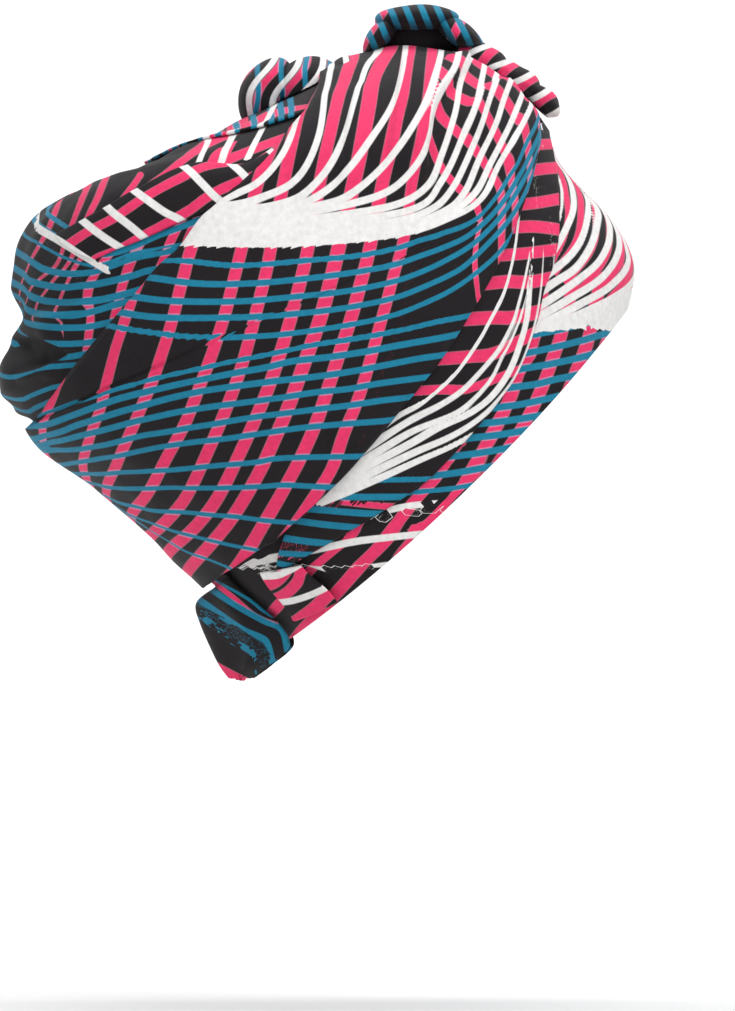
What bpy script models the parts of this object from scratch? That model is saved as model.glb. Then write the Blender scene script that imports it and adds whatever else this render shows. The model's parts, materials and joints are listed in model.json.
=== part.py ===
"""A tied head wrap of printed cotton, as it keeps its form when worn.

Metres, +Z up. The forehead side faces -Y and the wearer's left is +X.
The origin is the middle of the inclined rim, where a head goes in.
The wrap is built on one smooth crown form. Every turn and fold of cloth is a thin
sheet lifted off that form, one layer above another.
"""
import functools
import math

import bmesh
import bpy
from mathutils import Vector
from mathutils.bvhtree import BVHTree

# Overall sizes
DEPTH = 0.265
HEIGHT = 0.284
RIM_WIDTH = 0.174
CROWN_WIDTH = 0.222

# Cloth
WALL = 0.0013
AIR = 0.0008
PITCH = WALL + AIR
BAND_LAYER = 2 * PITCH
SIDE_LAYER = 3 * PITCH
RIM_SAG = 0.0065

# Folds and tucks
PUFF_BULGE = 0.0105
PUFF_RISE = 0.060
LAP = 0.012
PLEAT_HEIGHT = 0.0045
PLEAT_WIDTH = 0.016
SLIT = 0.010

# Rolled pieces on the crown
KNOB_LENGTH = 0.047
KNOB_WIDTH = 0.062
# Run over which the pleats rise beside the rolls
PLEAT_CLEARING = KNOB_WIDTH / 3
KNOB_HEIGHT = 0.0153
ROLL_LENGTH = 0.046
ROLL_WIDTH = 0.070
ROLL_HEIGHT = 0.0135
GATHER_LENGTH = 0.037
GATHER_WIDTH = 0.048
GATHER_HEIGHT = 0.0105

# Nape tail
TAIL_WIDTH = 0.074
TAIL_DROP = 0.0385
TAIL_REACH = 0.034

# The crown form is a fan of oval sections from the rim to the top.
# forward and up are shares of DEPTH and HEIGHT from the rear and the lowest point.
# The half width is rim share of RIM_WIDTH plus crown share of CROWN_WIDTH, halved.
# Columns: front forward, front up, back forward, back up, rim share, crown share
SECTIONS = (
    (0.987, 0.551, 0.446, 0.062, 1.00, 0.00),
    (0.998, 0.604, 0.343, 0.143, 0.70, 0.30),
    (0.987, 0.645, 0.257, 0.222, 0.40, 0.60),
    (0.957, 0.688, 0.158, 0.300, 0.15, 0.85),
    (0.916, 0.727, 0.064, 0.368, 0.00, 1.00),
    (0.879, 0.764, 0.038, 0.452, 0.00, 1.01),
    (0.860, 0.803, 0.048, 0.549, 0.00, 0.98),
    (0.826, 0.845, 0.078, 0.645, 0.00, 0.92),
    (0.771, 0.885, 0.150, 0.695, 0.00, 0.81),
    (0.696, 0.912, 0.268, 0.752, 0.00, 0.62),
    (0.617, 0.921, 0.385, 0.815, 0.00, 0.36),
    (0.500, 0.886, 0.500, 0.886, 0.00, 0.00),
)
OVAL_POWER = 2.2
# Level on the form where the sag of the rim's sides has died out
SAG_TOP = 0.3

# Edges of the turns, seen from the wearer's right. Columns: forward, up
SIDE_FRONT_EDGE = (
    (0.364, 0.151),
    (0.403, 0.188),
    (0.470, 0.245),
    (0.547, 0.313),
    (0.649, 0.424),
    (0.736, 0.542),
    (0.797, 0.647),
    (0.834, 0.733),
    (0.854, 0.801),
    (0.862, 0.838),
)
SIDE_REAR_EDGE = (
    (0.032, 0.374),
    (0.065, 0.402),
    (0.092, 0.448),
    (0.139, 0.507),
    (0.196, 0.566),
    (0.274, 0.643),
    (0.339, 0.712),
    (0.422, 0.793),
    (0.476, 0.846),
)
SECOND_FRONT_EDGE = (
    (0.429, 0.160),
    (0.511, 0.204),
    (0.585, 0.245),
    (0.682, 0.313),
    (0.752, 0.372),
    (0.847, 0.535),
    (0.870, 0.623),
    (0.858, 0.712),
    (0.855, 0.806),
)
DIAGONAL_UPPER_EDGE = (
    (0.108, 0.648),
    (0.176, 0.682),
    (0.220, 0.709),
    (0.309, 0.757),
    (0.383, 0.770),
    (0.440, 0.806),
)
DIAGONAL_LOWER_EDGE = (
    (0.157, 0.619),
    (0.187, 0.637),
    (0.218, 0.651),
    (0.280, 0.682),
    (0.339, 0.705),
    (0.372, 0.730),
)
BAND_END_SEAM = (
    (0.466, 0.170),
    (0.497, 0.143),
    (0.522, 0.118),
)
BAND_END_TIP = (
    (0.403, 0.160),
    (0.428, 0.125),
    (0.455, 0.090),
)

# Swell of the rear puff up its height. Columns: level on the crown form, share of PUFF_BULGE
PUFF_SWELL = (
    (0.00, 0.00),
    (0.385, 0.00),
    (0.41, 0.50),
    (0.435, 0.95),
    (0.46, 1.00),
    (0.50, 0.55),
    (0.53, 0.25),
    (0.57, 0.90),
    (0.63, 1.05),
    (0.70, 1.00),
    (0.77, 0.60),
    (0.86, 0.30),
    (1.00, 0.10),
)

# Share of the side wrap's front edge where the second fold's hidden rear edge begins
SECOND_REAR_START = 0.20

# Raised pleats on the side wrap, as ridges between two points.
# Columns: low forward, low up, high forward, high up, share of PLEAT_HEIGHT, share of PLEAT_WIDTH
PLEATS = (
    (0.640, 0.745, 0.690, 0.905, 1.00, 1.00),
    (0.700, 0.735, 0.752, 0.870, 0.80, 0.90),
    (0.560, 0.735, 0.590, 0.900, 0.45, 1.20),
)

# Levels on the crown form, from 0 at the rim to 1 at the top
SIDE_LOW = 0.105
SIDE_HIGH = 0.955
PUFF_LOW = 0.315
PUFF_HIGH = 0.800
UPPER_LOW = 0.812
UPPER_HIGH = 0.975
TAIL_TOP = 0.16
TAIL_LEAVE = 0.095
# Share of the tail's mesh rows that lie hidden under the side wrap
TAIL_HIDDEN = 0.25

# Cross-sections of a roll along its own length.
# Columns: share of length, share of half width, share of height, lean to the left as a share of width
KNOB_SECTIONS = (
    (0.00, 0.30, 0.30, 0.00),
    (0.12, 0.72, 0.62, 0.02),
    (0.35, 0.96, 0.92, 0.03),
    (0.60, 1.00, 1.00, 0.00),
    (0.85, 0.82, 0.80, -0.03),
    (1.00, 0.40, 0.42, -0.02),
)
ROLL_SECTIONS = (
    (0.00, 0.35, 0.45, 0.00),
    (0.15, 0.80, 0.85, 0.01),
    (0.38, 1.00, 1.00, 0.02),
    (0.60, 0.86, 0.64, 0.00),
    (0.82, 0.92, 0.36, -0.02),
    (1.00, 0.45, 0.24, -0.02),
)
GATHER_SECTIONS = (
    (0.00, 0.70, 0.75, 0.00),
    (0.18, 1.00, 1.00, 0.01),
    (0.40, 0.92, 0.72, 0.02),
    (0.62, 0.78, 0.82, 0.00),
    (0.84, 0.52, 0.60, -0.03),
    (1.00, 0.20, 0.45, -0.04),
)
# Where the knob begins along the crown, as a share of DEPTH
KNOB_START = 0.565
# Clear lengths from the knob to the roll behind it and to the gather before it
ROLL_GAP = 0.005
GATHER_GAP = 0.0005

# Rows of the nape tail below the place where it leaves the crown.
# Columns: share of TAIL_DROP, middle forward and edge forward as shares of TAIL_REACH, share of TAIL_WIDTH
TAIL_ROWS = (
    (0.17, -0.21, 0.42, 1.00),
    (0.40, -0.14, 0.74, 0.97),
    (0.65, -0.02, 0.89, 0.80),
    (0.86, 0.10, 0.64, 0.50),
    (1.00, 0.22, 0.42, 0.20),
)

# A pleat climbs over this share of its run, and fades out over the last share before its end
PLEAT_CLIMB = 0.45
PLEAT_END = 1.25
PLEAT_FADE = 0.2

# A rolled piece stands clear of the crown by these shares of WALL, along its sides and more at its top
ROLL_CLEAR = 0.6
ROLL_CLEAR_MORE = 0.4
# The lowest sine round a rolled piece at which it is held clear
ROLL_UNDERSIDE = -0.05

# Above this level the form has closed to a line, and its slope is taken from a flatter level
TOP_LEVEL = 0.999
FLAT_LEVEL = 0.95
# Highest level and step in level and turn for the slope of the form
SLOPE_LEVEL = 0.985
SLOPE_STEP = 0.004
SMALLEST_NORMAL = 1e-12
LEAST_RADIUS = 0.004
# Rounds of halving and of correction when a place on the form is looked for
HALVINGS = 30
CORRECTIONS = 4

# Mesh fineness
CROWN_LEVELS = 17
CROWN_SIDES = 44
SIDE_EDGE_STEPS = 15
SIDE_TOP_STEPS = 4
SIDE_COLUMNS = 10
LEVEL_SPACE = 0.01
EDGE_STEPS = 26
PUFF_LEVELS = 18
UPPER_LEVELS = 7
REAR_COLUMNS = 22
ROLL_SIDES = 16
ROLL_RINGS = 3
SECOND_COLUMNS = 4
DIAGONAL_STEPS = 14
DIAGONAL_COLUMNS = 4
BAND_STEPS = 5
BAND_COLUMNS = 6
TAIL_STEPS = 12
TAIL_COLUMNS = 12
COVER_LEVELS = 60
COVER_SIDES = 96
# Decimals to which corners are matched, and the angle in degrees above which an edge is sharp
KEY_DIGITS = 5
SHARP_ANGLE = 40

BLACK = (0.030, 0.026, 0.028, 1.0)
PINK = (0.900, 0.075, 0.190, 1.0)
BLUE = (0.020, 0.280, 0.450, 1.0)
WHITE = (0.830, 0.830, 0.800, 1.0)


def clear_scene():
    for thing in list(bpy.data.objects):
        bpy.data.objects.remove(thing, do_unlink=True)


def cloth_material(name, colour):
    material = bpy.data.materials.new(name)
    material.use_nodes = True
    shader = material.node_tree.nodes["Principled BSDF"]
    shader.inputs["Base Color"].default_value = colour
    shader.inputs["Roughness"].default_value = 0.85
    shader.inputs["Metallic"].default_value = 0.0
    return material


def smooth_step(value):
    share = min(max(value, 0.0), 1.0)
    return share * share * (3.0 - 2.0 * share)


def along(rows, share):
    """Point at a share of the way through rows, on a smooth curve through all of them."""
    spans = len(rows) - 1
    place = min(max(share, 0.0), 1.0) * spans
    index = min(int(place), spans - 1)
    t = place - index
    before = rows[max(index - 1, 0)]
    start = rows[index]
    end = rows[index + 1]
    after = rows[min(index + 2, spans)]
    point = []
    for a, b, c, d in zip(before, start, end, after):
        bend = (c - a) * t + (2 * a - 5 * b + 4 * c - d) * t ** 2 + (3 * b - a - 3 * c + d) * t ** 3
        point.append(b + 0.5 * bend)
    return tuple(point)


def table_value(rows, key):
    """Value in the second column at a key in the first, eased between rows."""
    for low, high in zip(rows, rows[1:]):
        if key <= high[0]:
            share = smooth_step((key - low[0]) / (high[0] - low[0]))
            return low[1] + (high[1] - low[1]) * share
    return rows[-1][1]


def seat():
    """Middle of the rim as shares: the frame's origin."""
    row = SECTIONS[0]
    return (row[0] + row[2]) / 2, (row[1] + row[3]) / 2


def side_point(forward, up):
    """A point of the wrap's middle plane from its shares of depth and height."""
    seat_forward, seat_up = seat()
    return Vector((0.0, -(forward - seat_forward) * DEPTH, (up - seat_up) * HEIGHT))


def section(level):
    """Front point, back point and half width of the oval at a level."""
    row = along(SECTIONS, level)
    half_width = (row[4] * RIM_WIDTH + row[5] * CROWN_WIDTH) / 2
    return side_point(row[0], row[1]), side_point(row[2], row[3]), max(half_width, 0.0)


def rounded(value, power):
    return math.copysign(abs(value) ** power, value)


def form_point(level, turn):
    """Point of the crown form. turn is 0 at the forehead, pi at the back, by the wearer's right."""
    front, back, half_width = section(level)
    middle = (front + back) / 2
    reach = (front - back) / 2
    point = middle + reach * rounded(math.cos(turn), 2 / OVAL_POWER)
    point.x = -half_width * rounded(math.sin(turn), 2 / OVAL_POWER)
    sag = RIM_SAG * math.sin(turn) ** 2 * max(1 - level / SAG_TOP, 0.0) ** 2
    below = Vector((0.0, reach.z, -reach.y)).normalized()
    return point - below * math.copysign(sag, below.z)


def form_normal(level, turn):
    """Outward normal of the crown form."""
    step = SLOPE_STEP
    level = min(level, SLOPE_LEVEL)
    round_it = form_point(level, turn + step) - form_point(level, turn - step)
    up_it = form_point(level + step, turn) - form_point(max(level - step, 0.0), turn)
    normal = up_it.cross(round_it)
    if normal.length < SMALLEST_NORMAL:
        return Vector((0.0, 0.0, 1.0))
    return normal.normalized()


def lifted(level, turn, lift):
    if level > TOP_LEVEL:
        front, back, _width = section(FLAT_LEVEL)
        normal = (front - back).cross(Vector((1.0, 0.0, 0.0))).normalized()
        return form_point(level, turn) + math.copysign(1.0, normal.z) * normal * lift
    return form_point(level, turn) + form_normal(level, turn) * lift


def flat_place(target):
    """Level and turn at a point of the middle plane, on sections that don't sag."""
    low = 0.0
    high = TOP_LEVEL
    for _step in range(HALVINGS):
        level = (low + high) / 2
        front, back, _width = section(level)
        reach = front - back
        gap = target - back
        if reach.y * gap.z - reach.z * gap.y > 0:
            high = level
        else:
            low = level
    front, back, _width = section(level)
    reach = front - back
    share = 2 * (target - back).dot(reach) / reach.length_squared - 1
    share = min(max(share, -1.0), 1.0)
    return level, math.acos(rounded(share, OVAL_POWER / 2))


@functools.lru_cache(maxsize=None)
def on_form(forward, up, height):
    """Level and turn of the place on a layer at this height that shows here, seen from the right."""
    aim = side_point(forward, up)
    target = aim.copy()
    for _step in range(CORRECTIONS):
        level, turn = flat_place(target)
        miss = aim - lifted(level, turn, height)
        miss.x = 0.0
        target += miss
    return level, turn


def edge_along(rows, steps, height, start=0.0):
    """Levels and turns at even steps along an edge, from a share of its run to its end."""
    shares = [start + (1 - start) * step / steps for step in range(steps + 1)]
    return [on_form(*along(rows, share), height) for share in shares]


def edge_turn(rows, level, height):
    """Turn of an edge that climbs steadily, at a level."""
    places = [on_form(*row, height) for row in rows]
    if level <= places[0][0]:
        return places[0][1]
    for low, high in zip(places, places[1:]):
        if level <= high[0]:
            share = (level - low[0]) / (high[0] - low[0])
            return low[1] + (high[1] - low[1]) * share
    return places[-1][1]


def turn_for(level, length):
    """The turn that spans a length of cloth round the crown at a level."""
    front, back, half_width = section(level)
    radius = max((half_width + (front - back).length / 2) / 2, LEAST_RADIUS)
    return length / radius


def ruled(edge_a, edge_b, across):
    """Quads of (level, turn) corners between two edges that have as many places each."""
    quads = []
    for a0, a1, b0, b1 in zip(edge_a, edge_a[1:], edge_b, edge_b[1:]):
        for column in range(across):
            s0 = column / across
            s1 = (column + 1) / across
            corners = []
            for a, b, s in ((a0, b0, s0), (a1, b1, s0), (a1, b1, s1), (a0, b0, s1)):
                corners.append((a[0] + (b[0] - a[0]) * s, a[1] + (b[1] - a[1]) * s))
            quads.append(corners)
    return quads


def mirrored(quads):
    return [[(level, 2 * math.pi - turn) for level, turn in reversed(quad)] for quad in quads]


def add_object(name, mesh_builder, material):
    """Closes off a bmesh as a named object with its faces pointing out."""
    bmesh.ops.recalc_face_normals(mesh_builder, faces=mesh_builder.faces)
    if mesh_builder.calc_volume(signed=True) < 0:
        bmesh.ops.reverse_faces(mesh_builder, faces=mesh_builder.faces)
    bmesh.ops.triangulate(mesh_builder, faces=mesh_builder.faces)
    mesh = bpy.data.meshes.new(name)
    mesh_builder.to_mesh(mesh)
    mesh_builder.free()
    mesh.shade_smooth()
    mesh.set_sharp_from_angle(angle=math.radians(SHARP_ANGLE))
    mesh.materials.append(material)
    thing = bpy.data.objects.new(name, mesh)
    bpy.context.collection.objects.link(thing)
    return thing


def sheet(name, quads, lift, wall, material):
    """A sheet of cloth over the crown form: an outer face, an inner face and its edges."""
    builder = bmesh.new()
    outer = {}
    inner = {}
    keyed = []
    for quad in quads:
        keys = []
        for level, turn in quad:
            if level > TOP_LEVEL:
                turn = 0.0
            key = (round(level, KEY_DIGITS), round(turn % (2 * math.pi), KEY_DIGITS))
            if key[1] == round(2 * math.pi, KEY_DIGITS):
                key = (key[0], 0.0)
            if key not in outer:
                height = lift(level, turn)
                outer[key] = builder.verts.new(lifted(level, turn, height))
                inner[key] = builder.verts.new(lifted(level, turn, height - wall))
            if key not in keys:
                keys.append(key)
        if len(keys) > 2:
            keyed.append(keys)
    uses = {}
    for keys in keyed:
        builder.faces.new([outer[key] for key in keys])
        builder.faces.new([inner[key] for key in reversed(keys)])
        for a, b in zip(keys, keys[1:] + keys[:1]):
            uses[(a, b)] = True
    for a, b in uses:
        if (b, a) not in uses:
            builder.faces.new((outer[b], outer[a], inner[a], inner[b]))
    return add_object(name, builder, material)


def crown_quads(levels, sides):
    """The whole crown from the rim to the top."""
    quads = []
    for row in range(levels):
        low = row / levels
        high = (row + 1) / levels
        for side in range(sides):
            start = 2 * math.pi * side / sides
            end = 2 * math.pi * (side + 1) / sides
            quads.append([(low, start), (high, start), (high, end), (low, end)])
    return quads


def side_front_turn(level):
    """Front edge of the side wrap: it runs up the side, then along the top beside the slit."""
    return max(edge_turn(SIDE_FRONT_EDGE, level, SIDE_LAYER), turn_for(level, SLIT / 2))


def side_corner():
    """Level of the side wrap's rear corner."""
    return on_form(*SIDE_REAR_EDGE[0], SIDE_LAYER)[0]


def side_rear_turn(level):
    """Rear edge of the side wrap. Below its corner the wrap goes on round the nape."""
    if level <= side_corner():
        return math.pi
    return edge_turn(SIDE_REAR_EDGE, level, SIDE_LAYER)


def pleat_lift(level, turn):
    """Height of the raised pleats, on the wearer's right only."""
    if turn > math.pi:
        return 0.0
    point = form_point(level, turn)
    height = 0.0
    for low_forward, low_up, high_forward, high_up, tall, wide in PLEATS:
        low = side_point(low_forward, low_up)
        high = side_point(high_forward, high_up)
        run = high - low
        place = Vector((0.0, point.y, point.z)) - low
        share = place.dot(run) / run.length_squared
        away = (place - run * share).length / (PLEAT_WIDTH * wide / 2)
        length_fade = smooth_step(share / PLEAT_CLIMB) * smooth_step((PLEAT_END - share) / PLEAT_FADE)
        height += PLEAT_HEIGHT * tall * length_fade * math.exp(-away * away)
    clear_of_rolls = smooth_step((abs(point.x) - KNOB_WIDTH / 2) / PLEAT_CLEARING)
    return height * clear_of_rolls


def side_lift(level, turn):
    return SIDE_LAYER + pleat_lift(level, turn)


def rear_lift(level, turn):
    """Swell of the rear cloth, held down where the side wrap laps over it."""
    if turn > math.pi:
        turn = 2 * math.pi - turn
    past_edge = turn - side_rear_turn(level)
    rise = smooth_step(past_edge / turn_for(level, PUFF_RISE))
    return PITCH + PUFF_BULGE * table_value(PUFF_SWELL, level) * rise


def build_crown(material):
    quads = crown_quads(CROWN_LEVELS, CROWN_SIDES)
    return sheet("crown_wrap", quads, lambda level, turn: 0.0, WALL, material)


def side_levels():
    """Levels of the side wrap's rows: even along its front edge, then along its rear edge."""
    corner = side_corner()
    levels = [SIDE_LOW]
    for level, _turn in edge_along(SIDE_FRONT_EDGE, SIDE_EDGE_STEPS, SIDE_LAYER):
        if SIDE_LOW + LEVEL_SPACE < level < corner - LEVEL_SPACE:
            levels.append(level)
    levels += [level for level, _turn in edge_along(SIDE_REAR_EDGE, SIDE_EDGE_STEPS, SIDE_LAYER)]
    top = levels[-1]
    levels += [top + (SIDE_HIGH - top) * step / SIDE_TOP_STEPS for step in range(1, SIDE_TOP_STEPS + 1)]
    return levels


def build_side_wrap(material):
    levels = side_levels()
    front = [(level, side_front_turn(level)) for level in levels]
    rear = [(level, side_rear_turn(level)) for level in levels]
    right = ruled(front, rear, SIDE_COLUMNS)
    return sheet("side_wrap", right + mirrored(right), side_lift, WALL, material)


def second_fold_quads():
    """Strip of the second turn: its front edge shows, its rear edge is tucked under the side wrap."""
    front = edge_along(SECOND_FRONT_EDGE, EDGE_STEPS, PITCH)
    rear = []
    for level, turn in edge_along(SIDE_FRONT_EDGE, EDGE_STEPS, PITCH, SECOND_REAR_START):
        rear.append((level, turn + turn_for(level, LAP)))
    return ruled(front, rear, SECOND_COLUMNS)


def build_second_folds(material):
    quads = second_fold_quads()

    def lift(level, turn):
        return PITCH

    sheet("second_fold_right", quads, lift, WALL, material)
    sheet("second_fold_left", mirrored(quads), lift, WALL, material)


def rear_edges(low, high, steps):
    """Edges of the rear cloth, tucked under the side wrap on both sides."""
    right = []
    left = []
    for step in range(steps + 1):
        level = low + (high - low) * step / steps
        turn = min(side_rear_turn(level), math.pi - turn_for(level, LAP)) - turn_for(level, LAP)
        right.append((level, turn))
        left.append((level, 2 * math.pi - turn))
    return right, left


def build_rear_puff(material):
    right, left = rear_edges(PUFF_LOW, PUFF_HIGH, PUFF_LEVELS)
    return sheet("rear_puff", ruled(right, left, REAR_COLUMNS), rear_lift, WALL, material)


def build_upper_fold(material):
    right, left = rear_edges(UPPER_LOW, UPPER_HIGH, UPPER_LEVELS)
    return sheet("upper_fold", ruled(right, left, REAR_COLUMNS), rear_lift, WALL, material)


def build_diagonal_fold(material):
    def lift(level, turn):
        return rear_lift(level, turn) + PITCH

    upper = edge_along(DIAGONAL_UPPER_EDGE, DIAGONAL_STEPS, PUFF_BULGE / 2)
    lower = edge_along(DIAGONAL_LOWER_EDGE, DIAGONAL_STEPS, PUFF_BULGE / 2)
    return sheet("diagonal_fold", ruled(upper, lower, DIAGONAL_COLUMNS), lift, WALL, material)


def build_band_end(material):
    seam = edge_along(BAND_END_SEAM, BAND_STEPS, BAND_LAYER)
    tip = edge_along(BAND_END_TIP, BAND_STEPS, BAND_LAYER)
    return sheet("band_end", ruled(seam, tip, BAND_COLUMNS), lambda level, turn: BAND_LAYER, WALL, material)


def cover_tree(lift):
    """Search tree of the crown form, lifted to the top of the side wrap."""
    vertices = []
    faces = []
    half_step = math.pi / COVER_SIDES
    for quad in crown_quads(COVER_LEVELS, COVER_SIDES):
        start = len(vertices)
        vertices.extend(lifted(level, turn + half_step, lift) for level, turn in quad)
        faces.append(tuple(range(start, start + 4)))
    return BVHTree.FromPolygons(vertices, faces)


def crown_height(tree, x, y):
    """Height of the cover over a place in plan."""
    hit, _normal, _index, _distance = tree.ray_cast(Vector((x, y, HEIGHT)), Vector((0.0, 0.0, -1.0)))
    return hit.z


def build_roll(name, tree, start, length, width, height, sections, material):
    """A rolled or gathered end of cloth, resting on the crown along its middle line."""
    builder = bmesh.new()
    rings = []
    steps = ROLL_RINGS * (len(sections) - 1)
    for step in range(steps + 1):
        share, half_width, tall, lean = along(sections, step / steps)
        forward = start + share * length / DEPTH
        y = side_point(forward, 0.0).y
        ring = []
        for side in range(ROLL_SIDES):
            angle = 2 * math.pi * side / ROLL_SIDES
            x = lean * width + half_width * width / 2 * math.cos(angle)
            floor = crown_height(tree, x, y)
            top = crown_height(tree, 0.0, y) + height * tall * (0.5 + 0.5 * math.sin(angle))
            clear = 0.0
            if math.sin(angle) > ROLL_UNDERSIDE:
                clear = WALL * (ROLL_CLEAR + ROLL_CLEAR_MORE * math.sin(angle))
            ring.append(builder.verts.new((x, y, max(top, floor + clear))))
        rings.append(ring)
    for ring, after in zip(rings, rings[1:]):
        for side in range(ROLL_SIDES):
            beside = (side + 1) % ROLL_SIDES
            builder.faces.new((ring[side], ring[beside], after[beside], after[side]))
    for ring in (rings[0], rings[-1]):
        middle = Vector((0.0, 0.0, 0.0))
        for vertex in ring:
            middle += vertex.co / ROLL_SIDES
        centre = builder.verts.new(middle)
        for side in range(ROLL_SIDES):
            builder.faces.new((ring[side], ring[(side + 1) % ROLL_SIDES], centre))
    return add_object(name, builder, material)


def tail_point(row, across, wall_in):
    """Point of the nape tail. row runs from its hidden top to its tip, across from -1 to 1."""
    half_width = TAIL_WIDTH / 2
    if row <= TAIL_HIDDEN:
        level = TAIL_TOP + (TAIL_LEAVE - TAIL_TOP) * row / TAIL_HIDDEN
        turn = math.pi - turn_for(level, half_width * across)
        return lifted(level, turn, PITCH - wall_in)
    middle = lifted(TAIL_LEAVE, math.pi, PITCH)
    edge = lifted(TAIL_LEAVE, math.pi - turn_for(TAIL_LEAVE, half_width), PITCH)
    top_row = (0.0, 0.0, (middle.y - edge.y) / TAIL_REACH, abs(edge.x) / half_width)
    share = (row - TAIL_HIDDEN) / (1 - TAIL_HIDDEN)
    drop, middle_forward, edge_forward, width = along((top_row,) + TAIL_ROWS, share)
    bend = math.pi / 2 * across
    forward = middle_forward + (edge_forward - middle_forward) * (1 - math.cos(bend))
    rise = (edge.z - middle.z) * (1 - math.cos(bend)) * (1 - share) ** 3
    return Vector((
        -(half_width * width - wall_in) * math.sin(bend),
        middle.y - forward * TAIL_REACH - wall_in * math.cos(bend),
        middle.z - drop * TAIL_DROP + rise,
    ))


def build_nape_tail(material):
    rows = TAIL_STEPS
    columns = TAIL_COLUMNS
    builder = bmesh.new()
    faces = ([], [])
    for row in range(rows + 1):
        for grid, wall_in in zip(faces, (0.0, WALL)):
            grid.append([
                builder.verts.new(tail_point(row / rows, 2 * column / columns - 1, wall_in))
                for column in range(columns + 1)
            ])
    outer, inner = faces
    for row in range(rows):
        for column in range(columns):
            for grid in faces:
                builder.faces.new((
                    grid[row][column], grid[row + 1][column],
                    grid[row + 1][column + 1], grid[row][column + 1],
                ))
    border = [(0, c) for c in range(columns)]
    border += [(r, columns) for r in range(rows)]
    border += [(rows, c) for c in range(columns, 0, -1)]
    border += [(r, 0) for r in range(rows, 0, -1)]
    for (r0, c0), (r1, c1) in zip(border, border[1:] + border[:1]):
        builder.faces.new((outer[r0][c0], outer[r1][c1], inner[r1][c1], inner[r0][c0]))
    return add_object("nape_tail", builder, material)


def main():
    clear_scene()
    black = cloth_material("black_ground", BLACK)
    pink = cloth_material("pink_stripe", PINK)
    blue = cloth_material("blue_stripe", BLUE)
    white = cloth_material("white_band", WHITE)
    build_crown(white)
    build_second_folds(pink)
    build_side_wrap(blue)
    build_rear_puff(black)
    build_upper_fold(blue)
    build_diagonal_fold(pink)
    build_band_end(pink)
    build_nape_tail(black)
    tree = cover_tree(SIDE_LAYER + AIR)
    roll_start = KNOB_START - (ROLL_GAP + ROLL_LENGTH) / DEPTH
    gather_start = KNOB_START + (KNOB_LENGTH + GATHER_GAP) / DEPTH
    build_roll("top_knob", tree, KNOB_START, KNOB_LENGTH, KNOB_WIDTH, KNOB_HEIGHT, KNOB_SECTIONS, blue)
    build_roll("rear_roll", tree, roll_start, ROLL_LENGTH, ROLL_WIDTH, ROLL_HEIGHT, ROLL_SECTIONS, white)
    build_roll(
        "front_gather", tree, gather_start, GATHER_LENGTH,
        GATHER_WIDTH, GATHER_HEIGHT, GATHER_SECTIONS, pink,
    )


main()
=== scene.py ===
"""The looks of a tied head wrap of wax-print cotton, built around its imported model.

Metres, +Z up, in the model's frame: the forehead side faces -Y, the wearer's left is +X.
Each turn and fold is a thin sheet over one crown form. The stripes of the print follow
guide curves on a chart of the wrap's right side, and the left side has them mirrored.
"""

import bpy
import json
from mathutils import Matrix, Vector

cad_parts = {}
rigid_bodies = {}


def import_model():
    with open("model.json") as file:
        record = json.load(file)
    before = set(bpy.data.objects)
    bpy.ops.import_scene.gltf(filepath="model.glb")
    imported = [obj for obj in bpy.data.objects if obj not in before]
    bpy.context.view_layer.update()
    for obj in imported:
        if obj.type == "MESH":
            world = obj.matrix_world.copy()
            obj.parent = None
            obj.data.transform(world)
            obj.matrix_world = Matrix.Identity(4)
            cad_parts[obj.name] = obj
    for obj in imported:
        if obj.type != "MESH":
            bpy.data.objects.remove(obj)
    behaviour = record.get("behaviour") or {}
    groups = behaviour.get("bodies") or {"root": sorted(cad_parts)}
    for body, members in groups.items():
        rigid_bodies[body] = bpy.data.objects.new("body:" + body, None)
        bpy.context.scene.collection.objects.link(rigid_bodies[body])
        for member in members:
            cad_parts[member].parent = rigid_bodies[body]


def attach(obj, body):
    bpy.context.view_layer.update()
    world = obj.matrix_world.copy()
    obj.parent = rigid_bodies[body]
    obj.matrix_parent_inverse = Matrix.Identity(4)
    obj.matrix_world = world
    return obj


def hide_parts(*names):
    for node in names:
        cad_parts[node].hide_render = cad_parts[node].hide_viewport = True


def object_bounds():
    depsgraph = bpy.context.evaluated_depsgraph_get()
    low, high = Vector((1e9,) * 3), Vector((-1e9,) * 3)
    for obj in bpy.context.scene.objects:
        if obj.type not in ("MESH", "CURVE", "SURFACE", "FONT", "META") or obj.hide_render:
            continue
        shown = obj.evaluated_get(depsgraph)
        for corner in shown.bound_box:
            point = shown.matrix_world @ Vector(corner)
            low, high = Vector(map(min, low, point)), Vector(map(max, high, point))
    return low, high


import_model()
CAD_BOX = [list(corner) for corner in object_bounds()]

import json
import math

import bpy
import numpy as np
from mathutils import Vector
from mathutils.bvhtree import BVHTree

# Sizes of the model, in metres
DEPTH = 0.265
HEIGHT = 0.284
RIM_WIDTH = 0.174
CROWN_WIDTH = 0.222
WALL = 0.0013
AIR = 0.0008
PITCH = WALL + AIR
BAND_LAYER = 2 * PITCH
SIDE_LAYER = 3 * PITCH
RIM_SAG = 0.0065
PUFF_BULGE = 0.0105
PUFF_RISE = 0.060
LAP = 0.012
SLIT = 0.010
TAIL_WIDTH = 0.074
TAIL_DROP = 0.0385
TAIL_REACH = 0.034
OVAL_POWER = 2.2
SAG_TOP = 0.3

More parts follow.
